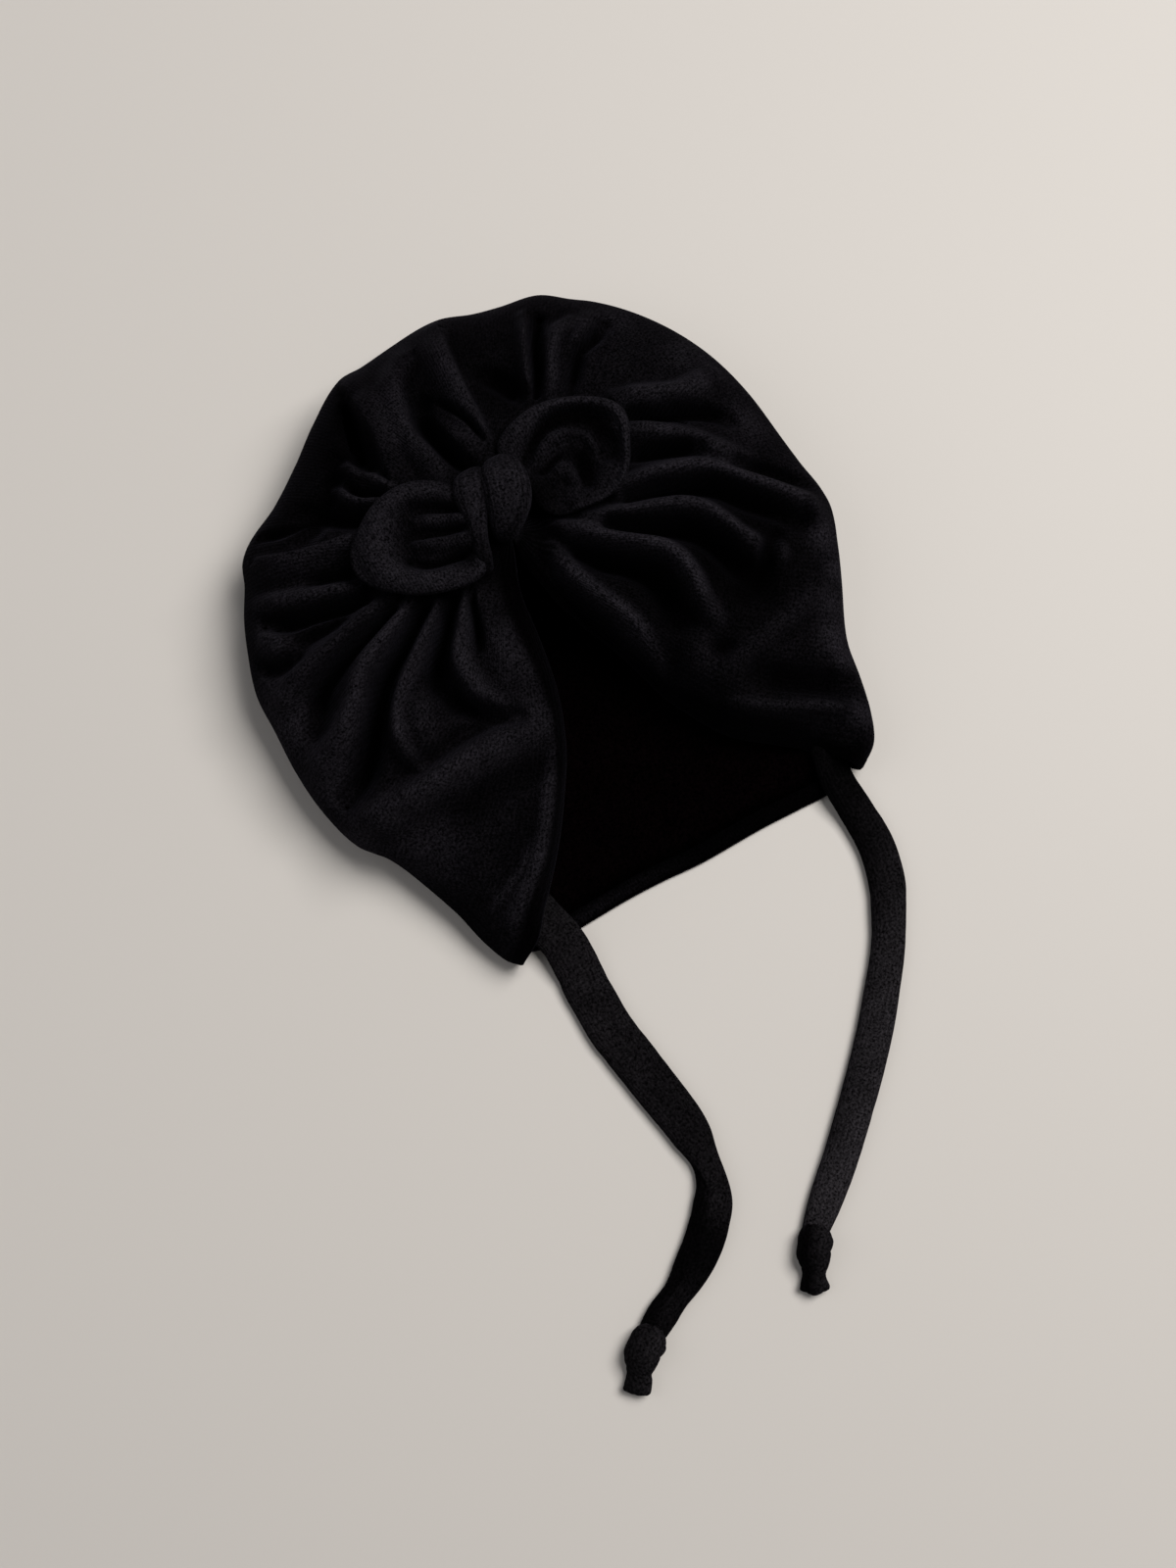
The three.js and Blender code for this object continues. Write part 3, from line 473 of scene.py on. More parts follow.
foldShape = dict(
    steps=26,
    ruling=4,  # how strongly the tallest of two folds rules where they meet
    startLoss=0.4, start=(0, 0.22), endLoss=0.4, end=(0.78, 1),
    # toneReach widens the painted highlight along each fold, shield keeps the painted shade spots off lit
    # folds, hollowDark is how black the painted shade in the hollows goes
    roundness=2.6, toneReach=1.15, shield=1.2, hollowDark=0.96,
)
crown = dict(
    name="crownCloth", gather=(1, 27), gatherHeight=43, gatherRing=4, stubHeight=6, stubRadius=7,
    steepness=2.4, wall=1.9, tips=(-62, 240), edgeSpread=64,
    napeBow=table(
        "share drop",
        (0, 0), (0.06, 2.6), (0.17, 2.5), (0.31, 2.2), (0.42, 2.7), (0.53, 3.8), (0.71, 3.9), (0.83, 4.6),
        (0.91, 5), (0.97, 3.2), (1, 0),
    ),
    ridgeScale=1.15, hollowScale=1.45, hem=dict(width=3.4, thicken=0.35, groove=0.45, grooveHalf=0.55),
    # turned hem along the nape, with painted light on it, brighter to the left, and a painted dark line past
    # it that ends over blend
    napeHem=dict(width=4.6, thicken=1.1, tone=0.14, rightGain=0.2, leftGain=1.5, gainOver=(-30, 8),
                 blend=(0.2, 4)),
    rightRoll=dict(drop=16, width=15), leftRoll=dict(drop=3.5, width=3.8),
    # rightDark and leftDark: how wide the painted shade is along each face edge, where the cloth rolls under
    rightDark=table(
        "reach width",
        (8, 1.5), (40, 1.5), (60, 2.5), (72, 5), (90, 6.6), (102, 6), (111, 3), (128, 2),
    ),
    leftDark=table(
        "reach width",
        (8, 4), (26, 6), (40, 5), (56, 3), (95, 3), (108, 5), (128, 5),
    ),
    leastHeight=5, columns=393, edgeColumns=14, edgeSpan=5, napeColumns=90, topRows=128, rimRows=12,
    backRings=(0.2, 0.4, 0.58, 0.74, 0.86, 0.92, 0.945, 0.953, 0.957, 0.96, 0.964, 0.97, 0.977, 0.985,
               0.992, 1),
    outline=table(
        "bearing reach",
        (-62, 125.4), (-58, 124.6), (-54, 119.2), (-50, 112.8), (-46, 106.8), (-42, 103.7), (-36, 101.5),
        (-29, 100), (-22, 99.1), (-18, 97), (-12, 92.8), (-5, 90), (4, 88.6), (16, 87.3), (32, 85.1),
        (42, 83.6), (47, 82.6), (54, 82.3), (62, 78.5), (69, 77), (77, 77.8), (90, 75.9), (98, 75.8),
        (104, 77.3), (116, 74.6), (127, 73.3), (138, 75.7), (147, 82), (151, 83.7), (156, 83.5),
        (163, 85.4), (170, 87.3), (178, 90), (186, 91.2), (194, 94.3), (203, 98.3), (211, 101.3),
        (217, 100.8), (223, 104), (230, 111), (235, 119.4), (238, 124), (240, 125.4),
    ),
    sections=table(
        "bearing rim top tuck",
        (-62, 7, 32, 5), (-40, 14, 42, 11), (0, 17, 49, 13), (90, 17, 50, 13), (150, 16, 45, 12),
        (200, 14, 41, 11), (225, 11, 36, 9), (240, 7, 32, 5),
    ),
    rightEdge=table(
        "reach bearing",
        (4, -86), (14, -85), (25, -80), (33, -75.5), (42, -73.5), (59, -74), (78, -72), (88, -69.8),
        (98, -66.4), (109, -63.4), (118, -62),
    ),
    leftEdge=table(
        "reach bearing",
        (4, 240), (14, 243), (24, 251), (33, 254.6), (45, 255.6), (60, 254), (76, 250.6), (92, 247.3),
        (108, 244), (118, 242.2), (125, 240),
    ),
    # each fold runs outward along its path; half is its half width at the start and at the end,
    # and sides, where given, widens or narrows that to the left and right of the way it runs
    # tone: the painted highlight along each fold's back
    folds=table(
        "name path rise half tone sides",
        ("leftBand", [(-45.5, 37), (-52.5, 40), (-61, 43.5), (-68, 47), (-74.5, 50.5)], 4.6, (2.6, 3.2),
         0.8, (0.8, 1.2)),
        ("leftBulge", [(-79, 43.5), (-76.5, 38.5), (-73, 34.5)], 4, (4.5, 4.5), 0.75),
        ("leftFirst", [(-39, 29.5), (-46.5, 28.5), (-54.5, 27), (-61, 26), (-68, 25.5), (-74.5, 24.5),
         (-82, 22.5)], 6.6, (3.2, 3.8), 0.6),
        ("leftSecond", [(-34.5, 24.5), (-42, 21.5), (-48, 19.5), (-54, 17.5), (-59, 14.5), (-63, 10.5),
         (-67.5, 6.5), (-73.5, 3), (-79.5, 0.5), (-86, -0.5)], 7.4, (3.3, 4.8), 1, (1, 0.9)),
        ("leftThird", [(-27.5, 20), (-34, 15.5), (-39.5, 12), (-45, 8.5), (-49.5, 5), (-54, 1), (-57, -4),
         (-58.5, -9.5), (-58, -16)], 7.6, (2.6, 2.8), 0.95, (1.2, 0.8)),
        ("leftPouch", [(-46.5, -0.5), (-50, -5), (-51.5, -10.5)], 4.6, (4.5, 5), 0.6),
        ("leftFourth", [(-20, 17.5), (-25, 13.5), (-29, 9), (-31.5, 4), (-32, -2), (-31.5, -8.5),
         (-29, -14)], 6.6, (3.2, 3.8), 0.95, (1.3, 0.75)),
        ("leftPanel", [(-14.5, 10.5), (-17, 3), (-18.5, -6), (-19.5, -14)], 4.4, (6, 8), 0.62),
        ("leftCross", [(-18, -25.5), (-27, -24), (-36.5, -23.5), (-46.5, -23), (-56.5, -23), (-67, -23),
         (-77, -23), (-87, -20.5)], 6, (5.2, 5.8), 0.85),
        ("leftHem", [(-20, -32.5), (-26.5, -41), (-34, -50), (-42, -59), (-49, -64), (-57.5, -69),
         (-63.5, -73)], 2.4, (3.5, 3.5), 0.85, (1, 0.8)),
        ("leftHemLine", [(-40, -52.5), (-47, -57.5), (-56.5, -61.5), (-67, -65.5)], 1.2, (1.2, 1.2), 0.8),
        ("shoulderEdge", [(-20.5, 63), (-19, 69), (-18, 74), (-18, 79.5), (-18, 85), (-18.5, 90.5)], 6,
         (3, 3.6), 0.48, (0.35, 2.4)),
        ("pouchLeft", [(-7.5, 54), (-8.5, 60.5), (-10, 67), (-9, 74), (-7.5, 80.5), (-4.5, 87), (1, 90.5)],
         5.6, (3.4, 3.6), 0.75, (1.5, 0.9)),
        ("pouchRight", [(9.5, 53.5), (10, 59), (10.5, 65), (11, 72), (12, 79.5), (13.5, 88), (16, 94)],
         6.2, (3, 3.2), 0.78, (2.1, 0.4)),
        ("pouchInner", [(5.5, 50.5), (3.5, 55.5), (1.5, 60), (0.5, 64)], 3.4, (3.7, 3.8), 0.36),
        ("besideLeafUpper", [(-21.5, 56.5), (-24.5, 61), (-26.5, 66), (-30.5, 71.5)], 4.2, (1.6, 2), 0.8),
        ("besideLeafLower", [(-26, 55), (-31, 58), (-34.5, 62), (-36.5, 67.5)], 4.2, (1.6, 2), 0.8),
        ("cornerEdge", [(-36, 50.5), (-43.5, 52), (-51.5, 54), (-60, 57.5), (-67.5, 62.5)], 6.2, (3, 3.8),
         0.7, (1.6, 0.4)),
        ("topEdge", [(26.5, 58.5), (29.5, 65), (32.5, 71.5), (36, 78), (40, 84.5)], 5.2, (1.7, 2), 0.62,
         (1.3, 0.35)),
        ("topFirst", [(31.5, 56), (36, 62.5), (40, 69), (45, 74.5), (51, 76)], 5, (2.3, 2.5), 0.7),
        ("topSecond", [(47.5, 66.5), (51, 70), (56, 74.5)], 3.6, (3, 3.2), 0.6),
        ("topThird", [(49, 46), (54.5, 44), (61, 41.5), (67, 39), (74, 37.5)], 6, (3.2, 3.6), 0.75,
         (1, 0.9)),
        ("topFourth", [(50, 43.5), (56.5, 41.5), (64, 40), (71, 39.5), (79.5, 40.5)], 5.4, (3.3, 3.8),
         0.75),
        ("topFifth", [(44, 36.5), (50.5, 33.5), (56, 29.5), (62, 24.5), (67, 19), (72.5, 13)], 5.6,
         (3.2, 3.8), 0.8),
        ("rightFirst", [(34.5, 22), (41.5, 21), (48.5, 19.5), (55.5, 17.5), (61.5, 14.5), (66.5, 9.5),
         (71.5, 4.5), (77.5, -1.5), (83.5, -7), (87.5, -11.5)], 7.2, (3, 3.8), 1),
        ("rightSecond", [(22, 19), (29, 16), (35.5, 13), (43, 10.5), (49.5, 8), (54, 3.5), (57, -2.5),
         (59.5, -8.5), (63, -13), (67.5, -16.5)], 7.6, (3, 3.8), 1),
        ("rightThird", [(11, 24), (16, 19.5), (21.5, 14.5), (27, 9), (32.5, 4.5), (37.5, 0), (40, -5),
         (40.5, -11), (40, -17.5), (40.5, -24)], 8, (3, 3.7), 1),
        ("rightFourth", [(9, 17.5), (9.5, 12.5), (10.5, 7), (12.5, 1.5), (15, -4.5), (17.5, -11),
         (18.5, -17.5), (18, -25)], 7, (3.1, 4.8), 1),
        ("rightCross", [(75.5, -29.5), (67, -33.5), (58.5, -35), (50, -36.5), (41.5, -38), (33.5, -40)], 3,
         (3.2, 3), 0.42),
        ("rightHem", [(33, -48), (40.5, -53.5), (47.5, -57.5), (55.5, -61.5), (62, -65.5), (66, -68.5)], 3,
         (2.6, 1.3), 0.6),
        ("rightDim", [(37.5, -25.5), (31, -30.5), (28, -37.5)], 2.4, (5, 5), 0.35),
    ),
    # hollows sink the cloth; their tone is the painted shade down in each
    hollows=table(
        "name path rise half tone sides",
        ("leftBandHollow", [(-45.5, 33), (-53, 35), (-60.5, 37.5), (-68.5, 40), (-74.5, 44)], 5.5,
         (1.8, 2.6), 0.95),
        ("leftWedge", [(-54, 32), (-61.5, 32.5), (-68, 33.5)], 3, (1.6, 2.4), 0.9),
        ("leftBulgeHollow", [(-83, 35), (-79, 31), (-72.5, 30)], 3, (2.4, 2.4), 0.8),
        ("leftBandAbove", [(-43, 41), (-49.5, 43.5), (-57, 46.5)], 3, (1.8, 1.8), 0.8),
        ("leftFirstHollow", [(-40.5, 26), (-48.5, 24.5), (-56.5, 23), (-63.5, 20.5), (-70, 17.5),
         (-74.5, 13.5), (-78, 10)], 5.5, (1.4, 4), 1),
        ("leftSecondHollow", [(-32.5, 22), (-40.5, 17.5), (-45.5, 14.5), (-51.5, 11), (-57, 6), (-62, 0.5),
         (-66.5, -4.5), (-72.5, -9.5), (-81.5, -13)], 8, (2, 4), 1),
        ("leftThirdHollow", [(-23.5, 20.5), (-29, 14), (-33.5, 9.5), (-37.5, 5.5), (-40.5, 0.5)], 6.5,
         (2.3, 3.2), 1),
        ("leftThirdDim", [(-40.5, 0.5), (-37.5, -7.5), (-31.5, -14.5), (-25, -19.5)], 4.5, (2.8, 3), 0.45),
        ("leftEndAbove", [(-63.5, 69), (-57, 65.5), (-48.5, 63.5), (-40.5, 62)], 3, (1.4, 1.8), 0.9),
        ("leftPit", [(-54.5, 11.5), (-61.5, 1.5), (-68.5, -8), (-76.5, -13.5)], 4, (2.4, 3), 0.95),
        ("leftPanelCrease", [(-17, 19.5), (-20, 14), (-22, 8), (-24, 3.5)], 4, (1.2, 1.4), 0.9),
        ("crossAbove", [(-25.9, -18.8), (-35, -16), (-45.2, -16.1), (-56.7, -17.2), (-67.4, -17.9)], 2.4,
         (2.6, 3), 0.4),
        ("crossBelow", [(-23.3, -35.9), (-32.8, -34.6), (-43.9, -34.9), (-55.7, -36.5)], 1.8, (3, 4), 0.5),
        ("hemBelow", [(-36, -45), (-44, -52), (-54, -57)], 1.2, (3.4, 3.4), 0.3),
        ("shoulderHollow", [(-25, 68), (-24.5, 74.5), (-23, 81), (-21, 88.5)], 7, (3.4, 2), 1),
        ("pouchFloor", [(0, 50), (-2, 56), (-3.5, 62.5), (-4, 70), (-1.5, 74.5)], 6.5, (2, 3.1), 0.95),
        ("pouchUnderLip", [(8, 54.5), (7, 61), (5.5, 66.5), (3, 72.5)], 3, (0.9, 1.1), 0.85),
        ("topPocket", [(19, 73.5), (21, 70), (23, 65.5), (25, 61)], 4.6, (3.4, 3.2), 0.95),
        ("besideLeafHollow", [(-25.2, 57.6), (-30.2, 61), (-33.1, 66.6)], 3.6, (1.2, 1.6), 0.95),
        ("cornerHollow", [(-31.5, 53), (-38.2, 57.6), (-43.7, 62.7), (-48, 66)], 6, (2, 4), 0.95),
        ("rimHollow", [(-31.3, 74.1), (-38.1, 67.5), (-45.3, 61.6), (-51.8, 60.2)], 4, (3.2, 3.2), 0.8),
        ("topSlot", [(29, 59.5), (33, 65.5), (36, 71.5), (39, 77), (43, 82)], 6, (1.5, 1.8), 1),
        ("topFirstHollow", [(38.5, 55), (43, 60.5), (48, 65.5), (54.5, 68), (59, 70.5)], 4.6, (1.8, 2.6),
         0.95),
        ("topSecondHollow", [(49, 39.5), (54.5, 37.5), (59.5, 35), (64, 31)], 5, (1, 1.1), 0.8),
        ("topThirdHollow", [(49, 40), (56.5, 36.5), (64.5, 33.5), (72, 29.5), (76.5, 25.5)], 4.6,
         (1.8, 2.6), 0.95),
        ("topFourthHollow", [(42.5, 29), (48.5, 27), (56, 24.5), (62.5, 21.5)], 4.4, (2, 2.2), 0.95),
        ("topRimHollow", [(71, 12.5), (76.5, 8), (82, 3), (87, -1.5)], 3.4, (2, 2.2), 0.8),
        ("rightFirstHollow", [(36, 18.5), (44, 16.5), (53, 13), (61, 8.5), (67, 1.5), (74, -5),
         (79.5, -10.5)], 5.4, (1.8, 4.2), 1),
        ("rightSecondHollow", [(27, 14.5), (34, 10), (42, 5.5), (49, 0), (53, -7), (55.5, -15), (58, -22)],
         6, (1.8, 5), 1),
        ("rightBigHollow", [(70, -11), (63.5, -16), (57.5, -20), (53, -21.5)], 4, (2.4, 4), 1),
        ("rightThirdHollow", [(15.5, 12.5), (20.5, 6.5), (26.5, 1.5), (31, -4.5), (32.5, -11.5),
         (32, -18)], 6.4, (2, 5), 1),
        ("rightFourthHollow", [(6, 7), (9.5, -2), (12.5, -10), (14.5, -20), (16, -29.5)], 4, (1.6, 3), 0.9),
        ("rightSmallHollow", [(36.5, -31.5), (40.5, -33)], 2.4, (2.2, 2.2), 0.9),
        ("rightCornerHollow", [(44.5, -45), (50.5, -49.5), (58.5, -54.5), (66.5, -59.5)], 4.6, (4, 4.4),
         0.9),
    ),
    # painted highlights, and painted shade, as soft round spots on the cloth
    paintedLightSpots=table(
        "name at radius tone",
        ("panel", (-17, -3), 11, 0.55), ("panelLow", (-22, -22), 9, 0.7),
        ("belowCross", (-72, -38), 17, 0.75), ("leftRim", (-86, 17), 15, 1),
        ("leftRimLow", (-84, -5), 12, 1), ("leftEnd", (-39.5, 85.5), 15, 0.5),
        ("crossEnd", (-85, -23), 9, 0.95), ("faceEdge", (7, -22), 11, 0.5), ("rightRim", (84, -18), 7, 1),
        ("rightRimMid", (76, -37), 6, 0.95), ("rightRimLow", (72, -52), 5.5, 0.9),
        ("rightFlap", (35, -33), 10, 0.35), ("hemCorner", (67, -70), 5, 1), ("topRight", (77, 51), 9, 0.6),
        ("topRightLow", (81, 23), 9, 0.6), ("topMiddle", (61, 71), 9, 0.55),
        ("leftBlob", (-76.5, 41.5), 4.5, 1), ("leftLow", (-84, 23.5), 9, 1),
        ("leftLower", (-81.5, -0.5), 9, 1), ("leftLowest", (-83.5, -25.5), 9, 0.95),
        ("rightEdgeGlow", (71.5, -45.5), 7, 1), ("rightNotch", (82.5, -28), 5, 1),
        ("shoulder", (-13, 73), 7, 0.3), ("shoulderUp", (9, 95), 8, 0.2),
    ),
    paintedShadeSpots=table(
        "name at radius tone",
        ("rightPanel", (46, -6), 30, 0.7), ("rightHollow", (60, -14), 13, 0.85),
        ("topLeft", (22, 86), 10, 0.55), ("leftTop", (-34, 82), 18, 0.8), ("topBack", (2, 88), 15, 0.65),
        ("topCorner", (-20, 91), 9, 0.5), ("topLine", (41, 80), 12, 0.65),
        ("rightTip", (60.5, -79.5), 4.8, 0.98), ("underKnot", (-9, 5), 8, 0.7),
        ("topPocketEdge", (21, 66.5), 9, 0.8), ("leftCornerTop", (-57, 70), 10, 0.65),
        ("leftTopEdge", (-42, 85), 11, 0.6),
    ),
    restTone=0.25, farFromEdge=60, uvRadius=62, uvRim=190, uvTop=170,
    # where the relief fades out, where the edges start and stop rolling over, how dark the painted shade
    # beside them turns, and the painted shadow about the gather
    fadeAtRim=(0.92, 1), fadeAtGather=(6, 15), rollStart=(12, 40), rollEnd=(108, 122),
    edgeTone=0.05, edgeBlend=(0.6, 1.35), gatherTone=0.3, gatherBlend=(10, 20),
    pleats=dict(rise=0.2, count=38, reach=9, spread=12), uneven=dict(size=17, rise=1.1),
)
gatherX, gatherY = crown["gather"]
rightTip, leftTip = crown["tips"]
reachAt = tableCurve(crown["outline"], "bearing", "reach")
rimAt, topAt, tuckAt = [tableCurve(crown["sections"], "bearing", column) for column in ("rim", "top", "tuck")]
rightEdgeAt = tableCurve(crown["rightEdge"], "reach", "bearing")
leftEdgeAt = tableCurve(crown["leftEdge"], "reach", "bearing")


def aboutGather(bearing, reach):
    turned = np.radians(bearing)
    return np.array([gatherX + reach * np.cos(turned), gatherY + reach * np.sin(turned)])


def foldField(folds, x, y):  # height of all the folds together, the tallest ruling, and their tone: painted highlight along ridges, painted shade along hollows
    ruling = foldShape["ruling"]
    height, tone = np.zeros(np.shape(x)), np.zeros(np.shape(x))
    for fold in folds:
        distance, along, side = nearestOn(splinePoints(fold["path"], foldShape["steps"]), x, y)
        half = mixed(*fold["half"], along) * np.where(side > 0, *fold.get("sides", (1, 1)))
        swell = 1 - foldShape["startLoss"] * (1 - smooth(*foldShape["start"], along))
        swell = swell * (1 - foldShape["endLoss"] * smooth(*foldShape["end"], along))
        height += (fold["rise"] * swell * np.exp(-(distance / half) ** foldShape["roundness"])) ** ruling
        tone += (fold["tone"] * swell * np.exp(-(distance / half / foldShape["toneReach"]) ** 4)) ** ruling
    return height ** (1 / ruling), tone ** (1 / ruling)


def spotTone(spot, x, y):
    (atX, atY), radius = spot["at"], spot["radius"]
    return spot["tone"] * np.exp(-((x - atX) ** 2 + (y - atY) ** 2) / radius ** 2)


def paintedLightTone(piece, x, y, foldTone, hollowTone):  # painted light: 1 for a full painted highlight, near 0 for painted shade
    lit = piece["restTone"] ** 4 + foldTone ** 4
    for spot in piece["paintedLightSpots"]:
        lit = lit + spotTone(spot, x, y) ** 4
    lit = lit ** 0.25
    for spot in piece["paintedShadeSpots"]:
        lit = lit * (1 - spotTone(spot, x, y) * (1 - np.minimum(foldTone * foldShape["shield"], 1)))
    return np.clip(lit * (1 - foldShape["hollowDark"] * np.minimum(hollowTone, 1)), 0, 1)


def hoodHeight(bearing, share):
    rim = rimAt(bearing)
    top = mixed(crown["gatherHeight"], topAt(bearing), smooth(0, 0.45, share))
    return rim + (top - rim) * np.sqrt(np.maximum(0, 1 - share ** crown["steepness"]))


def leaning(bearing, lean):
    turned, across = np.radians(bearing), np.sin(lean)
    return np.stack([across * np.cos(turned), across * np.sin(turned), np.cos(lean)], -1)


def hoodTop(bearing, share):
    reach = reachAt(bearing) * share
    right = np.maximum(0, 1 - (bearing - rightTip) / crown["edgeSpread"]) ** 1.6
    left = np.maximum(0, 1 - (leftTip - bearing) / crown["edgeSpread"]) ** 1.6
    swung = bearing + right * (rightEdgeAt(reach) - rightTip) + left * (leftEdgeAt(reach) - leftTip)
    x, y = aboutGather(swung, reach)
    fade = (1 - smooth(*crown["fadeAtRim"], share)) * smooth(*crown["fadeAtGather"], reach)
    ridge, ridgeTone = foldField(crown["folds"], x, y)
    hollow, hollowTone = foldField(crown["hollows"], x, y)
    relief = (crown["ridgeScale"] * ridge - crown["hollowScale"] * hollow) * fade
    pleats, uneven, turned = crown["pleats"], crown["uneven"], np.radians(swung)
    wave = np.sin(turned * pleats["count"] + 2 * np.sin(turned * 5))
    small = pleats["rise"] * wave * bump(reach, pleats["reach"], pleats["spread"])
    large = roll(x, y, x * 0, uneven["size"]) * uneven["rise"] * fade
    fromRight = np.radians(swung - rightEdgeAt(reach)) * reach
    fromLeft = np.radians(leftEdgeAt(reach) - swung) * reach
    rolled = smooth(*crown["rollStart"], reach) * (1 - smooth(*crown["rollEnd"], reach))
    drop = 0
    for edge, distance in ((crown["rightRoll"], fromRight), (crown["leftRoll"], fromLeft)):
        drop = drop + edge["drop"] * np.maximum(0, 1 - distance / edge["width"]) ** 2 * rolled
    stub = crown["stubHeight"] * bump(reach, 0, crown["stubRadius"])
    step = 0.004
    inner = np.minimum(share, 0.998) - step
    slope = (hoodHeight(bearing, inner + step) - hoodHeight(bearing, inner)) / (step * reachAt(bearing))
    z = np.maximum(hoodHeight(bearing, share) + relief + small + large - drop + stub, crown["leastHeight"])
    # painted light and shade: highlights on the folds and spots, painted shade in the hollows, along the face
    # edges and about the gather
    tone = paintedLightTone(crown, x, y, ridgeTone * fade, hollowTone * fade)
    for key, distance in (("rightDark", fromRight), ("leftDark", fromLeft)):
        across = distance / tableCurve(crown[key], "reach", "width")(reach)
        tone = tone * mixed(crown["edgeTone"], 1, smooth(*crown["edgeBlend"], across))
    tone = tone * mixed(crown["gatherTone"], 1, smooth(*crown["gatherBlend"], reach))
    fromEdge = np.minimum(fromRight, fromLeft)
    return np.stack([x, y, z], -1), leaning(swung, np.arctan(-slope)), fromEdge, 1 - tone


def rimTurn(bearing, turn):
    angle = turn * math.pi / 2
    tuck, rim = tuckAt(bearing), rimAt(bearing)
    x, y = aboutGather(bearing, reachAt(bearing) - tuck * (1 - np.cos(angle)))
    lean = math.pi / 2 + np.arctan2(np.sin(angle) * tuck, np.cos(angle) * rim)
    return np.stack([x, y, rim * (1 - np.sin(angle))], -1), leaning(bearing, lean)


def sheetFaces(pole, rings, rows, tip):
    faces = [(pole, rings[0][(i + 1) % len(rings[0])], rings[0][i]) for i in range(len(rings[0]))]
    for lower, upper in zip(rings, rings[1:]):
        faces += quads(lower, upper, closed=True)
    for lower, upper in zip(rows, rows[1:]):
        faces += quads(lower, upper)
    return faces + [(rows[-1][i], rows[-1][i + 1], tip) for i in range(len(rows[-1]) - 1)]


def freeEdge(rings, rows, tip, inset=0):  # up the right front edge, down the left one, back along the nape
    right, left = [row[inset] for row in rows[1:]], [row[-1 - inset] for row in rows[:0:-1]]
    ring = rings[-1 - inset]
    return right + [tip] + left + list(ring[len(rows[0]) - 1:]) + [ring[0]]


def joinUnequal(fine, coarse, marks):
    # faces from a dense row to a sparse one; marks say which dense points match
    faces = []
    for j, start in enumerate(marks):
        end = marks[(j + 1) % len(marks)]
        end += len(fine) if end <= start else 0
        middle = (start + end) // 2
        here, there = coarse[j], coarse[(j + 1) % len(coarse)]
        for k in range(start, end):
            faces.append((fine[k % len(fine)], fine[(k + 1) % len(fine)], here if k < middle else there))
        faces.append((fine[middle % len(fine)], there, here))
    return faces


def clothSides(at, out, fromEdge, foldAndShade):
    # outer and inner side of the cloth, thickened at its hems, with the inner side's painted light and shade
    hem, napeHem = crown["hem"], crown["napeHem"]
    thick = hem["thicken"] * (1 - smooth(hem["width"], hem["width"] + 1.2, fromEdge))
    groove = hem["groove"] * bump(fromEdge, hem["width"], hem["grooveHalf"])
    onTable = out[:, 2] < -0.5
    outer = at + out * np.where(onTable, 0, thick - groove)[:, None]
    inHem = np.clip(fromEdge / napeHem["width"], 0, 1)
    raised = napeHem["thicken"] * np.sqrt(np.maximum(0, 1 - (2 * inHem - 1) ** 2)) * (inHem < 1)
    thick = np.where(onTable, raised, thick - groove * 0.8)
    innerSide = at - out * (crown["wall"] + thick)[:, None]
    # painted light on the nape hem, brighter to the left, and painted shade in the line beside it
    sideGain = napeHem["rightGain"] + napeHem["leftGain"] * (1 - smooth(*napeHem["gainOver"], at[:, 0]))
    crest = (0.4 + 0.6 * bump(inHem, 0.35, 0.3)) * (1 - smooth(0.8, 1, inHem))
    beyond = smooth(*napeHem["blend"], fromEdge - napeHem["width"])
    napeTone = np.where(inHem < 1, napeHem["tone"] * sideGain * crest, beyond)
    inNapeHem = onTable & (fromEdge < napeHem["width"] + 0.4)
    return outer, innerSide, np.where(onTable, 1 - napeTone, foldAndShade), inNapeHem


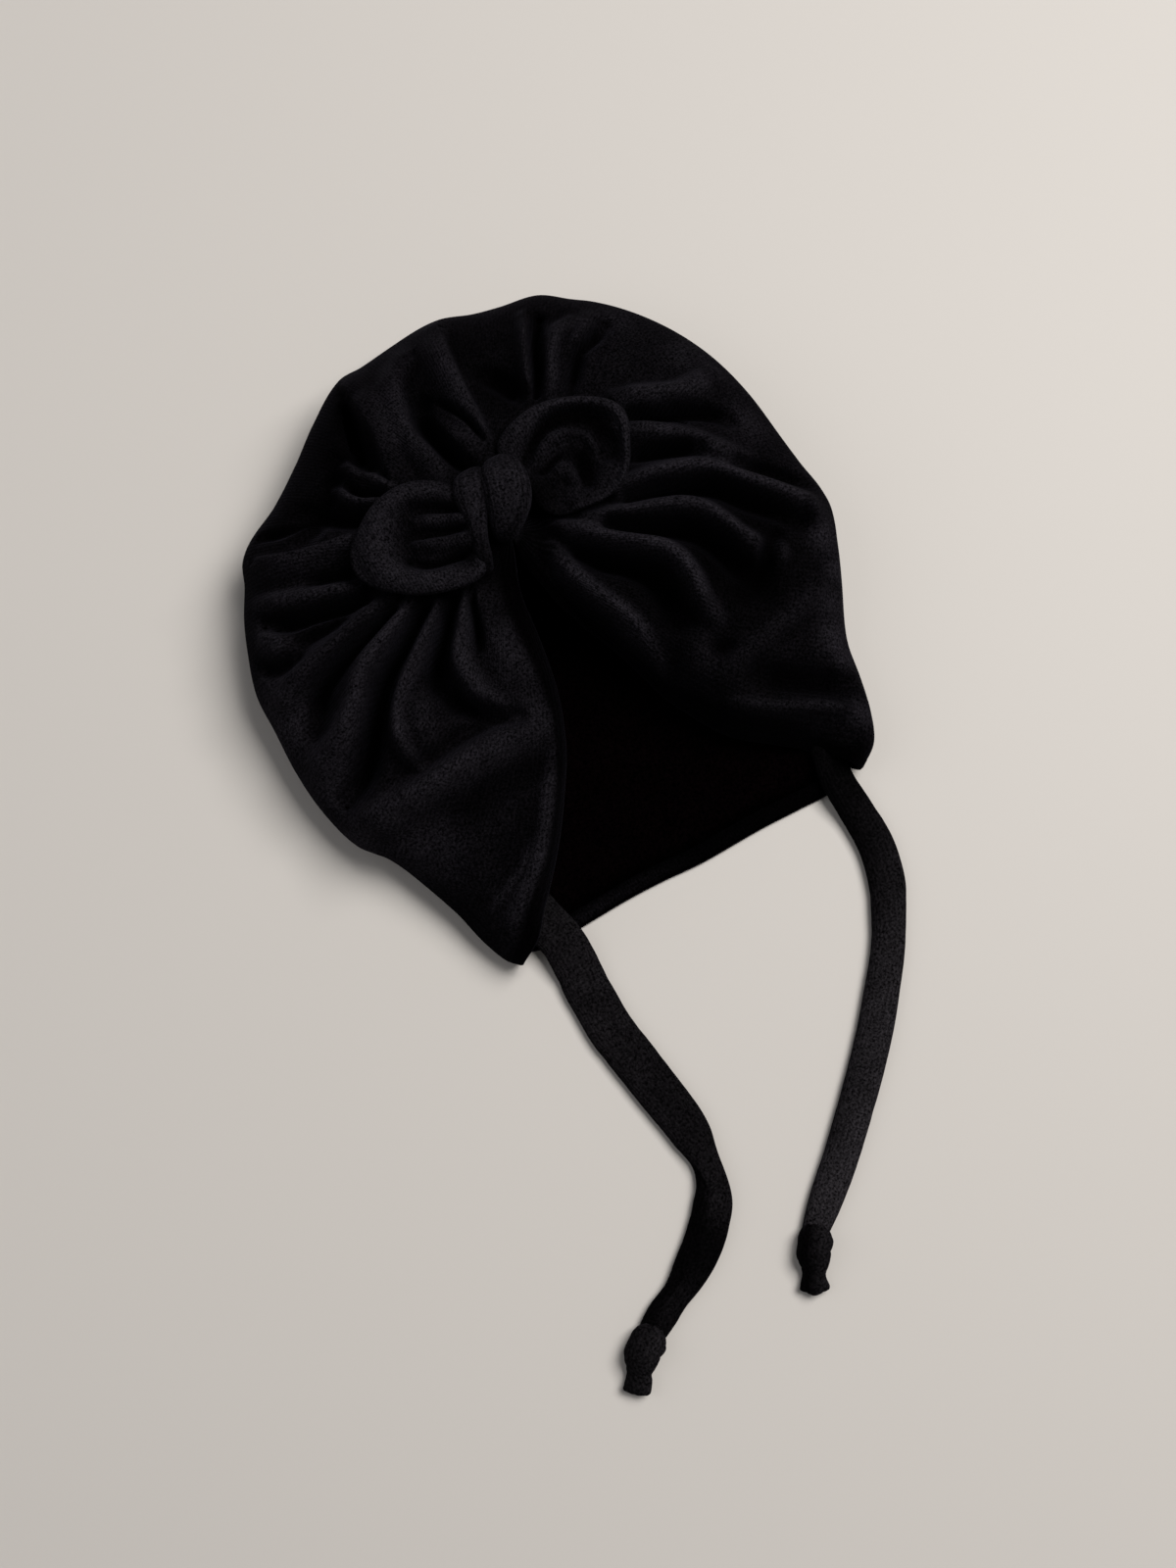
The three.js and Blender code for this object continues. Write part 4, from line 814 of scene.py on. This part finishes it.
def makeCrown():
    span, inEdge = crown["edgeSpan"], crown["farFromEdge"]
    step = np.linspace(0, span, crown["edgeColumns"], endpoint=False)
    inside = np.linspace(rightTip + span, leftTip - span, crown["columns"])
    bearings = np.concatenate([rightTip + step, inside, leftTip - step[::-1]])
    hood = len(bearings)
    points, outs, edges, uv, foldAndShade = [], [], [], [], []

    def put(at, out, fromEdge, u, v, paintedShade=0):
        first = sum(len(row) for row in points)
        points.append(at)
        outs.append(np.broadcast_to(out, at.shape))
        edges.append(np.broadcast_to(fromEdge, len(at)))
        uv.append(np.column_stack([np.broadcast_to(u, len(at)), np.broadcast_to(v, len(at))]))
        foldAndShade.append(np.broadcast_to(paintedShade, len(at)))
        return np.arange(first, first + len(at))

    # back of the cloth, flat on the table
    flatEnd, _ = rimTurn(bearings, 1)
    t = np.linspace(0, 1, crown["napeColumns"] + 1)[1:-1]
    nape = flatEnd[-1] + np.outer(t, flatEnd[0] - flatEnd[-1])
    nape[:, 1] -= tableCurve(crown["napeBow"], "share", "drop")(t)
    ends = np.vstack([flatEnd, nape])
    isNape = np.arange(len(ends)) >= hood - 1
    isNape[0] = True
    middle = np.array([gatherX, gatherY, 0.0])
    down = np.array([0, 0, -1.0])
    pole = put(middle[None, :], down, inEdge, gatherX, gatherY)[0]
    rings = []
    for share in crown["backRings"]:
        ring = middle + (ends - middle) * share
        fromEdge = np.where(isNape, (1 - share) * (gatherY - ends[:, 1]), inEdge)
        rings.append(put(ring, down, fromEdge, ring[:, 0], ring[:, 1]))

    # up round the rim and in over the top to the gather
    rows = [rings[-1][:hood]]
    around = np.radians(bearings) * crown["uvRadius"]
    # the rim rows take the painted shade worked out at the outline
    rimRowShade = hoodTop(bearings[None, :], np.ones((1, hood)))[-1]
    for i in range(1, crown["rimRows"] + 1):
        at, out = rimTurn(bearings, 1 - i / crown["rimRows"])
        rows.append(put(at, out, inEdge, around, crown["uvRim"] - i * 2, rimRowShade[0]))
    t = 1 - np.arange(1, crown["topRows"] + 1) / crown["topRows"]
    outward = (0.65 * np.sin(t * math.pi / 2) + 0.35 * t)[:, None]
    least = (crown["gatherRing"] / reachAt(bearings))[None, :]
    share = least + (1 - least) * outward
    at, out, fromEdge, paintedShade = hoodTop(np.broadcast_to(bearings, share.shape), share)
    for i in range(len(share)):
        rows.append(put(at[i], out[i], fromEdge[i], around, crown["uvTop"] * outward[i, 0], paintedShade[i]))
    peak = np.array([[gatherX, gatherY, crown["gatherHeight"] + crown["stubHeight"]]])
    tip = put(peak, np.array([0, 0, 1.0]), inEdge, 0, 0)[0]

    uv, foldAndShade = np.vstack(uv), np.concatenate(foldAndShade)
    outer, innerSide, innerShade, inNapeHem = clothSides(
        np.vstack(points), np.vstack(outs), np.concatenate(edges), foldAndShade)
    faces = sheetFaces(pole, rings, rows, tip)
    inner = [0] * len(faces)

    # round hem along the free edge
    loop = freeEdge(rings, rows, tip)
    away = outer[loop] - outer[freeEdge(rings, rows, tip, inset=1)]
    size = np.linalg.norm(away, axis=1)[:, None]
    away = np.where(size > 1e-6, away / np.maximum(size, 1e-6), 0)
    between = (outer[loop] + innerSide[loop]) / 2
    spread = (outer[loop] - innerSide[loop]) / 2
    half = np.linalg.norm(spread, axis=1)[:, None]
    total, last = len(outer), list(loop)
    allPoints, allUv, allShade = [outer], [uv], [foldAndShade]
    for angle in (45, 90, 135):
        turn = math.radians(angle)
        row = between + spread * math.cos(turn) + away * half * math.sin(turn)
        row[:, 2] = np.maximum(row[:, 2], 0)
        allPoints.append(row)
        allUv.append(uv[loop])
        allShade.append(foldAndShade[loop])
        numbers = list(range(total, total + len(loop)))
        total += len(loop)
        faces += quads(last, numbers, closed=True)
        last = numbers
    inner += [0] * (len(faces) - len(inner))

    # the cloth's inner side, at half the density
    napePart = np.arange(hood + 1, len(ends), 2)
    someRings = [ring[np.concatenate([np.arange(0, hood, 2), napePart])] for ring in rings]
    someRows = [row[::2] for row in rows[::2]]
    used = np.unique(np.concatenate([[pole, tip]] + someRings + someRows))
    number = {old: total + i for i, old in enumerate(used)}
    allPoints.append(innerSide[used])
    allUv.append(uv[used])
    allShade.append(innerShade[used])
    faces += [tuple(number[i] for i in face[::-1]) for face in sheetFaces(pole, someRings, someRows, tip)]
    sparse = freeEdge(someRings, someRows, tip)
    place = {old: i for i, old in enumerate(loop)}
    faces += joinUnequal(last, [number[i] for i in sparse], [place[i] for i in sparse])
    hemmed = {number[i] for i in used if inNapeHem[i]}
    inner += [0 if hemmed.issuperset(face) else 1 for face in faces[len(inner):]]
    piece = makePiece(crown["name"], np.vstack(allPoints), faces, np.vstack(allUv), [velour, clothBackAndShade],
                      inner, np.concatenate(allShade))
    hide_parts("crown")
    return piece


crownPiece = makeCrown()
crownMesh = crownPiece.data
crownFaces = [tuple(p.vertices) for p in crownMesh.polygons]
crownTree = BVHTree.FromPolygons([v.co.copy() for v in crownMesh.vertices], crownFaces)
clothArea = sum(p.area for p in crownMesh.polygons) / 2
print("crown made,", len(crownMesh.polygons), "faces, cloth", round(clothArea, 4), "square metres")


def heightOn(tree, x, y):  # highest cloth under a point
    hit = tree.ray_cast(Vector((x * mm, y * mm, 0.2)), -up)[0]
    return hit.z / mm if hit else 0.0


# The bow's two ends: doubled cloth, cupped inside a plump rim

# each end's tone columns, restTone and spots are painted light and shade, as on the hood
leafLeft = dict(
    name="bowLeafLeft", node="bow_leaf_left", middle=(-23, 38.4), wall=3.2, rest=46.4, rootBearing=-12,
    rootHalf=34, rootRise=5, edgeRise=3, restTone=0.3,
    outline=table(
        "bearing reach",
        (11, 18.3), (30, 18.2), (60, 17.2), (100, 16.9), (127, 17.6), (146, 19.2), (160, 20.9), (175, 21.7),
        (186, 20.9), (202, 19), (222, 17.4), (247, 17.1), (269, 18.2), (286, 20.2), (302, 21.8),
        (311, 19.5), (322, 16.8), (340, 16.4),
    ),
    folds=table(
        "name path rise half tone sides",
        ("rim", [(-11, 20.5), (-15, 20), (-21.5, 23.5), (-29, 27), (-35, 32.5), (-37, 39.5), (-34, 46),
         (-27.5, 51), (-20.5, 51.5), (-13, 48.5), (-8, 43.5), (-6.5, 40.5)], 6.5, (4.2, 3.8), 0.85,
         (1.6, 1)),
        ("rimInside", [(-33.5, 37), (-32, 43.5), (-26.5, 48.5)], 4.6, (3, 3), 0.75),
        ("upperCushion", [(-7.5, 35.5), (-14.5, 40), (-21, 43)], 3.8, (2.5, 2.1), 0.68),
        ("lowerCushion", [(-10, 30), (-17.5, 34), (-24.5, 37)], 3.8, (2.7, 2.1), 0.68),
    ),
    hollows=table(
        "name path rise half tone sides",
        ("upperCrease", [(-5, 36.5), (-10.5, 41), (-16, 45), (-20.5, 47.5)], 3, (1, 1.4), 0.75),
        ("middleCrease", [(-8.5, 33), (-17, 37), (-25, 40.5)], 2.4, (0.9, 1.6), 0.75),
        ("lowerCrease", [(-10, 27), (-17.5, 28.5), (-24.5, 30), (-29, 34)], 3, (1.1, 1.5), 1),
    ),
    paintedLightSpots=table(
        "name at radius tone",
        ("outerEnd", (-37, 36), 6, 0.8), ("point", (-11.5, 20.5), 4, 0.95),
    ),
    paintedShadeSpots=table(
        "name at radius tone",
        ("cup", (-23, 41), 7, 0.45),
    ),
)
leafRight = dict(
    name="bowLeafRight", node="bow_leaf_right", middle=(29.5, 35), wall=3.2, rest=47.6, rootBearing=178,
    rootHalf=30, rootRise=4, edgeRise=3.2, restTone=0.25,
    outline=table(
        "bearing reach",
        (4, 17.6), (18, 19.4), (32, 19.2), (52, 18.2), (79, 18.5), (98, 19.9), (116, 21.8), (130, 23.6),
        (142, 24.6), (154, 22.8), (168, 19), (186, 18), (201, 19.2), (216, 19), (235, 16.4), (257, 15),
        (290, 15), (320, 14.8), (345, 15.3),
    ),
    folds=table(
        "name path rise half tone sides",
        ("rim", [(10.5, 49.5), (16, 52), (24.5, 53), (32, 51.5), (39.5, 47.5), (45, 42.5), (45.5, 37.5),
         (43.5, 32), (40, 25.5), (35, 21), (28.5, 20), (20.5, 21)], 7, (2.6, 2.4), 0.8, (1.4, 1)),
        ("rimBroad", [(13.5, 47), (17.5, 50), (23.5, 51), (30, 50.5), (37, 48.5)], 6.4, (4.4, 2.4), 0.75),
        ("spiral", [(15.5, 40.5), (20, 43), (25, 43.5), (30, 42), (33, 39), (34, 35.5), (34, 31.5)], 5.6,
         (3.6, 2), 0.62),
        ("inner", [(20, 33.5), (23.5, 34.5), (24.5, 33), (24.5, 30), (24, 27.5)], 4.4, (2.6, 2.4), 0.5),
        ("floor", [(18, 27), (23.5, 23.5), (29.5, 24), (34.5, 26.5), (38.5, 31.5)], 5, (4.8, 4.4), 0.36),
    ),
    hollows=table(
        "name path rise half tone sides",
        ("outerTrough", [(14, 41), (19.5, 45), (25.5, 48), (31.5, 47.5), (36.5, 45), (39.5, 40.5),
         (39, 35.5), (37, 32)], 4.5, (1.5, 3.2), 1),
        ("hole", [(30.5, 38), (30, 34), (29, 30.5), (27.5, 26.5)], 5, (3.3, 1.9), 1),
        ("rootGap", [(15.5, 37.5), (19, 37), (22.5, 38), (26.5, 38.5)], 2.4, (1, 1), 0.9),
    ),
    paintedLightSpots=table(
        "name at radius tone",
        ("rimEnd", (45, 40), 4.5, 0.85),
    ),
    paintedShadeSpots=table(
        "name at radius tone",
        ("root", (13, 30), 6, 0.8),
    ),
)
leafMesh = dict(
    rings=40, segments=144, gap=0.3, uneven=0.4, unevenSize=7,
    # rimDark: painted shade round each end's outer rim, from the darkens share outward
    rimRises=(0.6, 0.9), rootRises=(0.4, 1), rimDark=0.5, darkens=(0.95, 1),  # as shares of the reach
)


def makeLeaf(leaf):
    count, rings = leafMesh["segments"], leafMesh["rings"]
    start = leaf["outline"][0]
    closing = dict(bearing=start["bearing"] + 360, reach=start["reach"])
    leafReach = tableCurve(leaf["outline"] + [closing], "bearing", "reach")
    bearing = start["bearing"] + np.linspace(0, 360, count, endpoint=False)
    t = np.arange(1, rings + 1) / rings
    shares = 0.45 * np.sin(t * math.pi / 2) + 0.55 * t
    share, bearing = np.meshgrid(np.concatenate([[0], shares]), bearing, indexing="ij")
    x = leaf["middle"][0] + share * leafReach(bearing) * np.cos(np.radians(bearing))
    y = leaf["middle"][1] + share * leafReach(bearing) * np.sin(np.radians(bearing))
    turn = (bearing - leaf["rootBearing"] + 180) % 360 - 180
    root = np.exp(-(turn / leaf["rootHalf"]) ** 2)
    ridge, ridgeTone = foldField(leaf["folds"], x, y)
    hollow, hollowTone = foldField(leaf["hollows"], x, y)
    ridge = np.maximum(ridge, leaf["edgeRise"] * smooth(*leafMesh["rimRises"], share))
    z = leaf["rest"] + ridge - hollow + leaf["rootRise"] * root * smooth(*leafMesh["rootRises"], share)
    z += roll(x, y, z, leafMesh["unevenSize"]) * leafMesh["uneven"]
    half = leaf["wall"] / 2 * np.sqrt(np.maximum(0, 1 - share**8))
    floorZ = np.array([heightOn(crownTree, a, b) for a, b in zip(x.ravel(), y.ravel())]).reshape(x.shape)
    z = np.maximum(z, floorZ + half + leafMesh["gap"])
    # painted shade and highlights of the bow's end, darker at its rim
    rimShade = 1 - leafMesh["rimDark"] * smooth(*leafMesh["darkens"], share)
    paintedShade = 1 - paintedLightTone(leaf, x, y, ridgeTone, hollowTone) * rimShade
    points = [(x[0, 0], y[0, 0], z[0, 0] + side * half[0, 0]) for side in (1, -1)]
    uv, foldAndShade = [(0, 0)] * 2, [paintedShade[0, 0]] * 2

    def put(i, side):  # one ring of the upper or the lower face
        first = len(points)
        points.extend(zip(x[i], y[i], z[i] + side * half[i]))
        uv.extend(zip(x[i], y[i]))
        foldAndShade.extend(paintedShade[i])
        return list(range(first, len(points)))

    upperRows, lowerRows = [], []
    for i in range(1, rings + 1):
        upperRows.append(put(i, 1))
        lowerRows.append(put(i, -1) if i < rings else upperRows[-1])  # the two faces share the outermost
    faces = []
    for i in range(count):
        faces.append((0, upperRows[0][i], upperRows[0][(i + 1) % count]))
        faces.append((1, lowerRows[0][(i + 1) % count], lowerRows[0][i]))
    for lower, upper in zip(upperRows, upperRows[1:]):
        faces += [f[::-1] for f in quads(lower, upper, closed=True)]
    for lower, upper in zip(lowerRows, lowerRows[1:]):
        faces += quads(lower, upper, closed=True)
    piece = makePiece(leaf["name"], points, faces, uv, [velour], paintedShade=foldAndShade)
    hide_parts(leaf["node"])


for leaf in (leafLeft, leafRight):
    makeLeaf(leaf)
print("bow ends made")


# The knot: one band wrapped over the other

knotWrap = dict(
    name="knotWrap", node="knot_wrap", creases=(0.6, 2.1, 2.5), creaseDepth=0.05, lit=0.5, litHalf=0.48,
    stations=table(
        "at width depth",
        ((7.3, 46.4, 46.6), 6, 4), ((7.2, 44.2, 51.6), 10, 7.6), ((6.9, 40.8, 54.6), 13.2, 9.8),
        ((6, 37, 55.8), 14, 10.4), ((4.4, 33.5, 55.4), 13.6, 10.2), ((2.3, 30.7, 53.8), 11.4, 9.2),
        ((0.2, 28.6, 50.8), 8.6, 7.4), ((-1.2, 27, 46.4), 5, 5),
    ),
)
knotTuck = dict(
    name="knotTuck", node="knot_tuck", creases=(0.9, 1.8), creaseDepth=0.05, lit=0.4, litHalf=0.4,
    stations=table(
        "at width depth",
        ((-1, 48, 47), 6, 4), ((-1.3, 44.9, 51.4), 11, 7.4), ((-2.9, 41.4, 53.6), 12, 8.4),
        ((-4.6, 37.8, 53.4), 9.4, 8.2), ((-6.2, 34, 52.8), 6.2, 7.4), ((-7.8, 29.9, 52), 5, 7),
        ((-9.2, 25.8, 50), 5, 6.4), ((-10.2, 21.8, 46), 3.8, 5),
    ),
)

# creases run slantwise along the band and waver a little; slant is in radians over its length
# dark and lit paint a highlight along each band over painted shade, centred at the band's lit share;
# creaseDark paints shade in the creases, and the ends are given painted shade too
bandMesh = dict(
    rings=90, sides=64, floor=0.2, creaseHalf=0.09, slant=0.9, waver=0.12, waves=7,
    dark=0.12, lit=0.68, creaseDark=0.5, endShade=0.9,
)


def makeBand(band):
    rings, sides = bandMesh["rings"], bandMesh["sides"]
    centre = splinePoints([s["at"] for s in band["stations"]], rings)
    share = np.linspace(0, 1, rings)
    rows = [dict(share=i / (len(band["stations"]) - 1), **s) for i, s in enumerate(band["stations"])]
    width, depth = columnsAt(rows, "share", share, "width", "depth")

    def creaseLines(along, angles):
        lines = angles + bandMesh["slant"] * along - bandMesh["slant"] / 2
        wavy = along * bandMesh["waves"] + np.arange(len(band["creases"]))
        waver = bandMesh["waver"] * np.sin(wavy)
        return sum(bump(lines + wave, at, bandMesh["creaseHalf"]) for wave, at in zip(waver, band["creases"]))

    def shape(along, angles):
        return 1 - band["creaseDepth"] * creaseLines(along, angles) * math.sin(math.pi * along)

    def toneRing(along):
        lit = bandMesh["dark"] + bandMesh["lit"] * bump(along, band["lit"], band["litHalf"])
        return lit * (1 - bandMesh["creaseDark"] * np.minimum(creaseLines(along, angles), 1))

    points, faces, uv, _ = sweptTube(centre, width, depth, sides, bandMesh["floor"], shape)
    angles = np.linspace(0, 2 * math.pi, sides, endpoint=False)
    paintedShade = np.concatenate([1 - toneRing(s) for s in share] + [[bandMesh["endShade"]] * 2])
    piece = makePiece(band["name"], points, faces, uv, [velour], paintedShade=paintedShade)
    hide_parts(band["node"])


for band in (knotWrap, knotTuck):
    makeBand(band)
print("knot made")


# Table and light

def plainMaterial(name, colour, roughness):
    material = bpy.data.materials.new(name)
    material.use_nodes = True
    shader = material.node_tree.nodes["Principled BSDF"]
    shader.inputs["Base Color"].default_value = (*colour, 1)
    shader.inputs["Roughness"].default_value = roughness
    return material


tableTop = dict(size=8000, below=0.2, colour=(0.54, 0.51, 0.48), roughness=0.6)
lighting = dict(
    window=dict(place=(1000, 60, 1650), size=1100, power=44, colour=(1.0, 0.985, 0.96)),
    fill=dict(place=(-1200, 700, 1400), size=1600, power=6, colour=(0.93, 0.95, 1.0)),
    sky=dict(colour=(0.93, 0.92, 0.91), strength=0.14),
)


def makeTable():
    bpy.ops.object.select_all(action="DESELECT")
    bpy.ops.mesh.primitive_plane_add(size=tableTop["size"] * mm, location=(0, 0, -tableTop["below"] * mm))
    floor = bpy.context.object
    floor.name = "tableTop"
    floor.data.materials.append(plainMaterial("paleTable", tableTop["colour"], tableTop["roughness"]))


def addLamp(name, lamp):
    data = bpy.data.lights.new(name, "AREA")
    data.size = lamp["size"] * mm
    data.energy = lamp["power"]
    data.color = lamp["colour"]
    light = bpy.data.objects.new(name, data)
    bpy.context.scene.collection.objects.link(light)
    light.location = Vector(lamp["place"]) * mm
    light.rotation_euler = (-light.location).to_track_quat("-Z", "Y").to_euler()


makeTable()
addLamp("windowLight", lighting["window"])
addLamp("fillLight", lighting["fill"])
world = bpy.data.worlds.new("softRoom")
world.use_nodes = True
world.node_tree.nodes["Background"].inputs["Color"].default_value = (*lighting["sky"]["colour"], 1)
world.node_tree.nodes["Background"].inputs["Strength"].default_value = lighting["sky"]["strength"]
bpy.context.scene.world = world
bpy.context.scene.view_settings.view_transform = "Standard"
print("table and light placed")
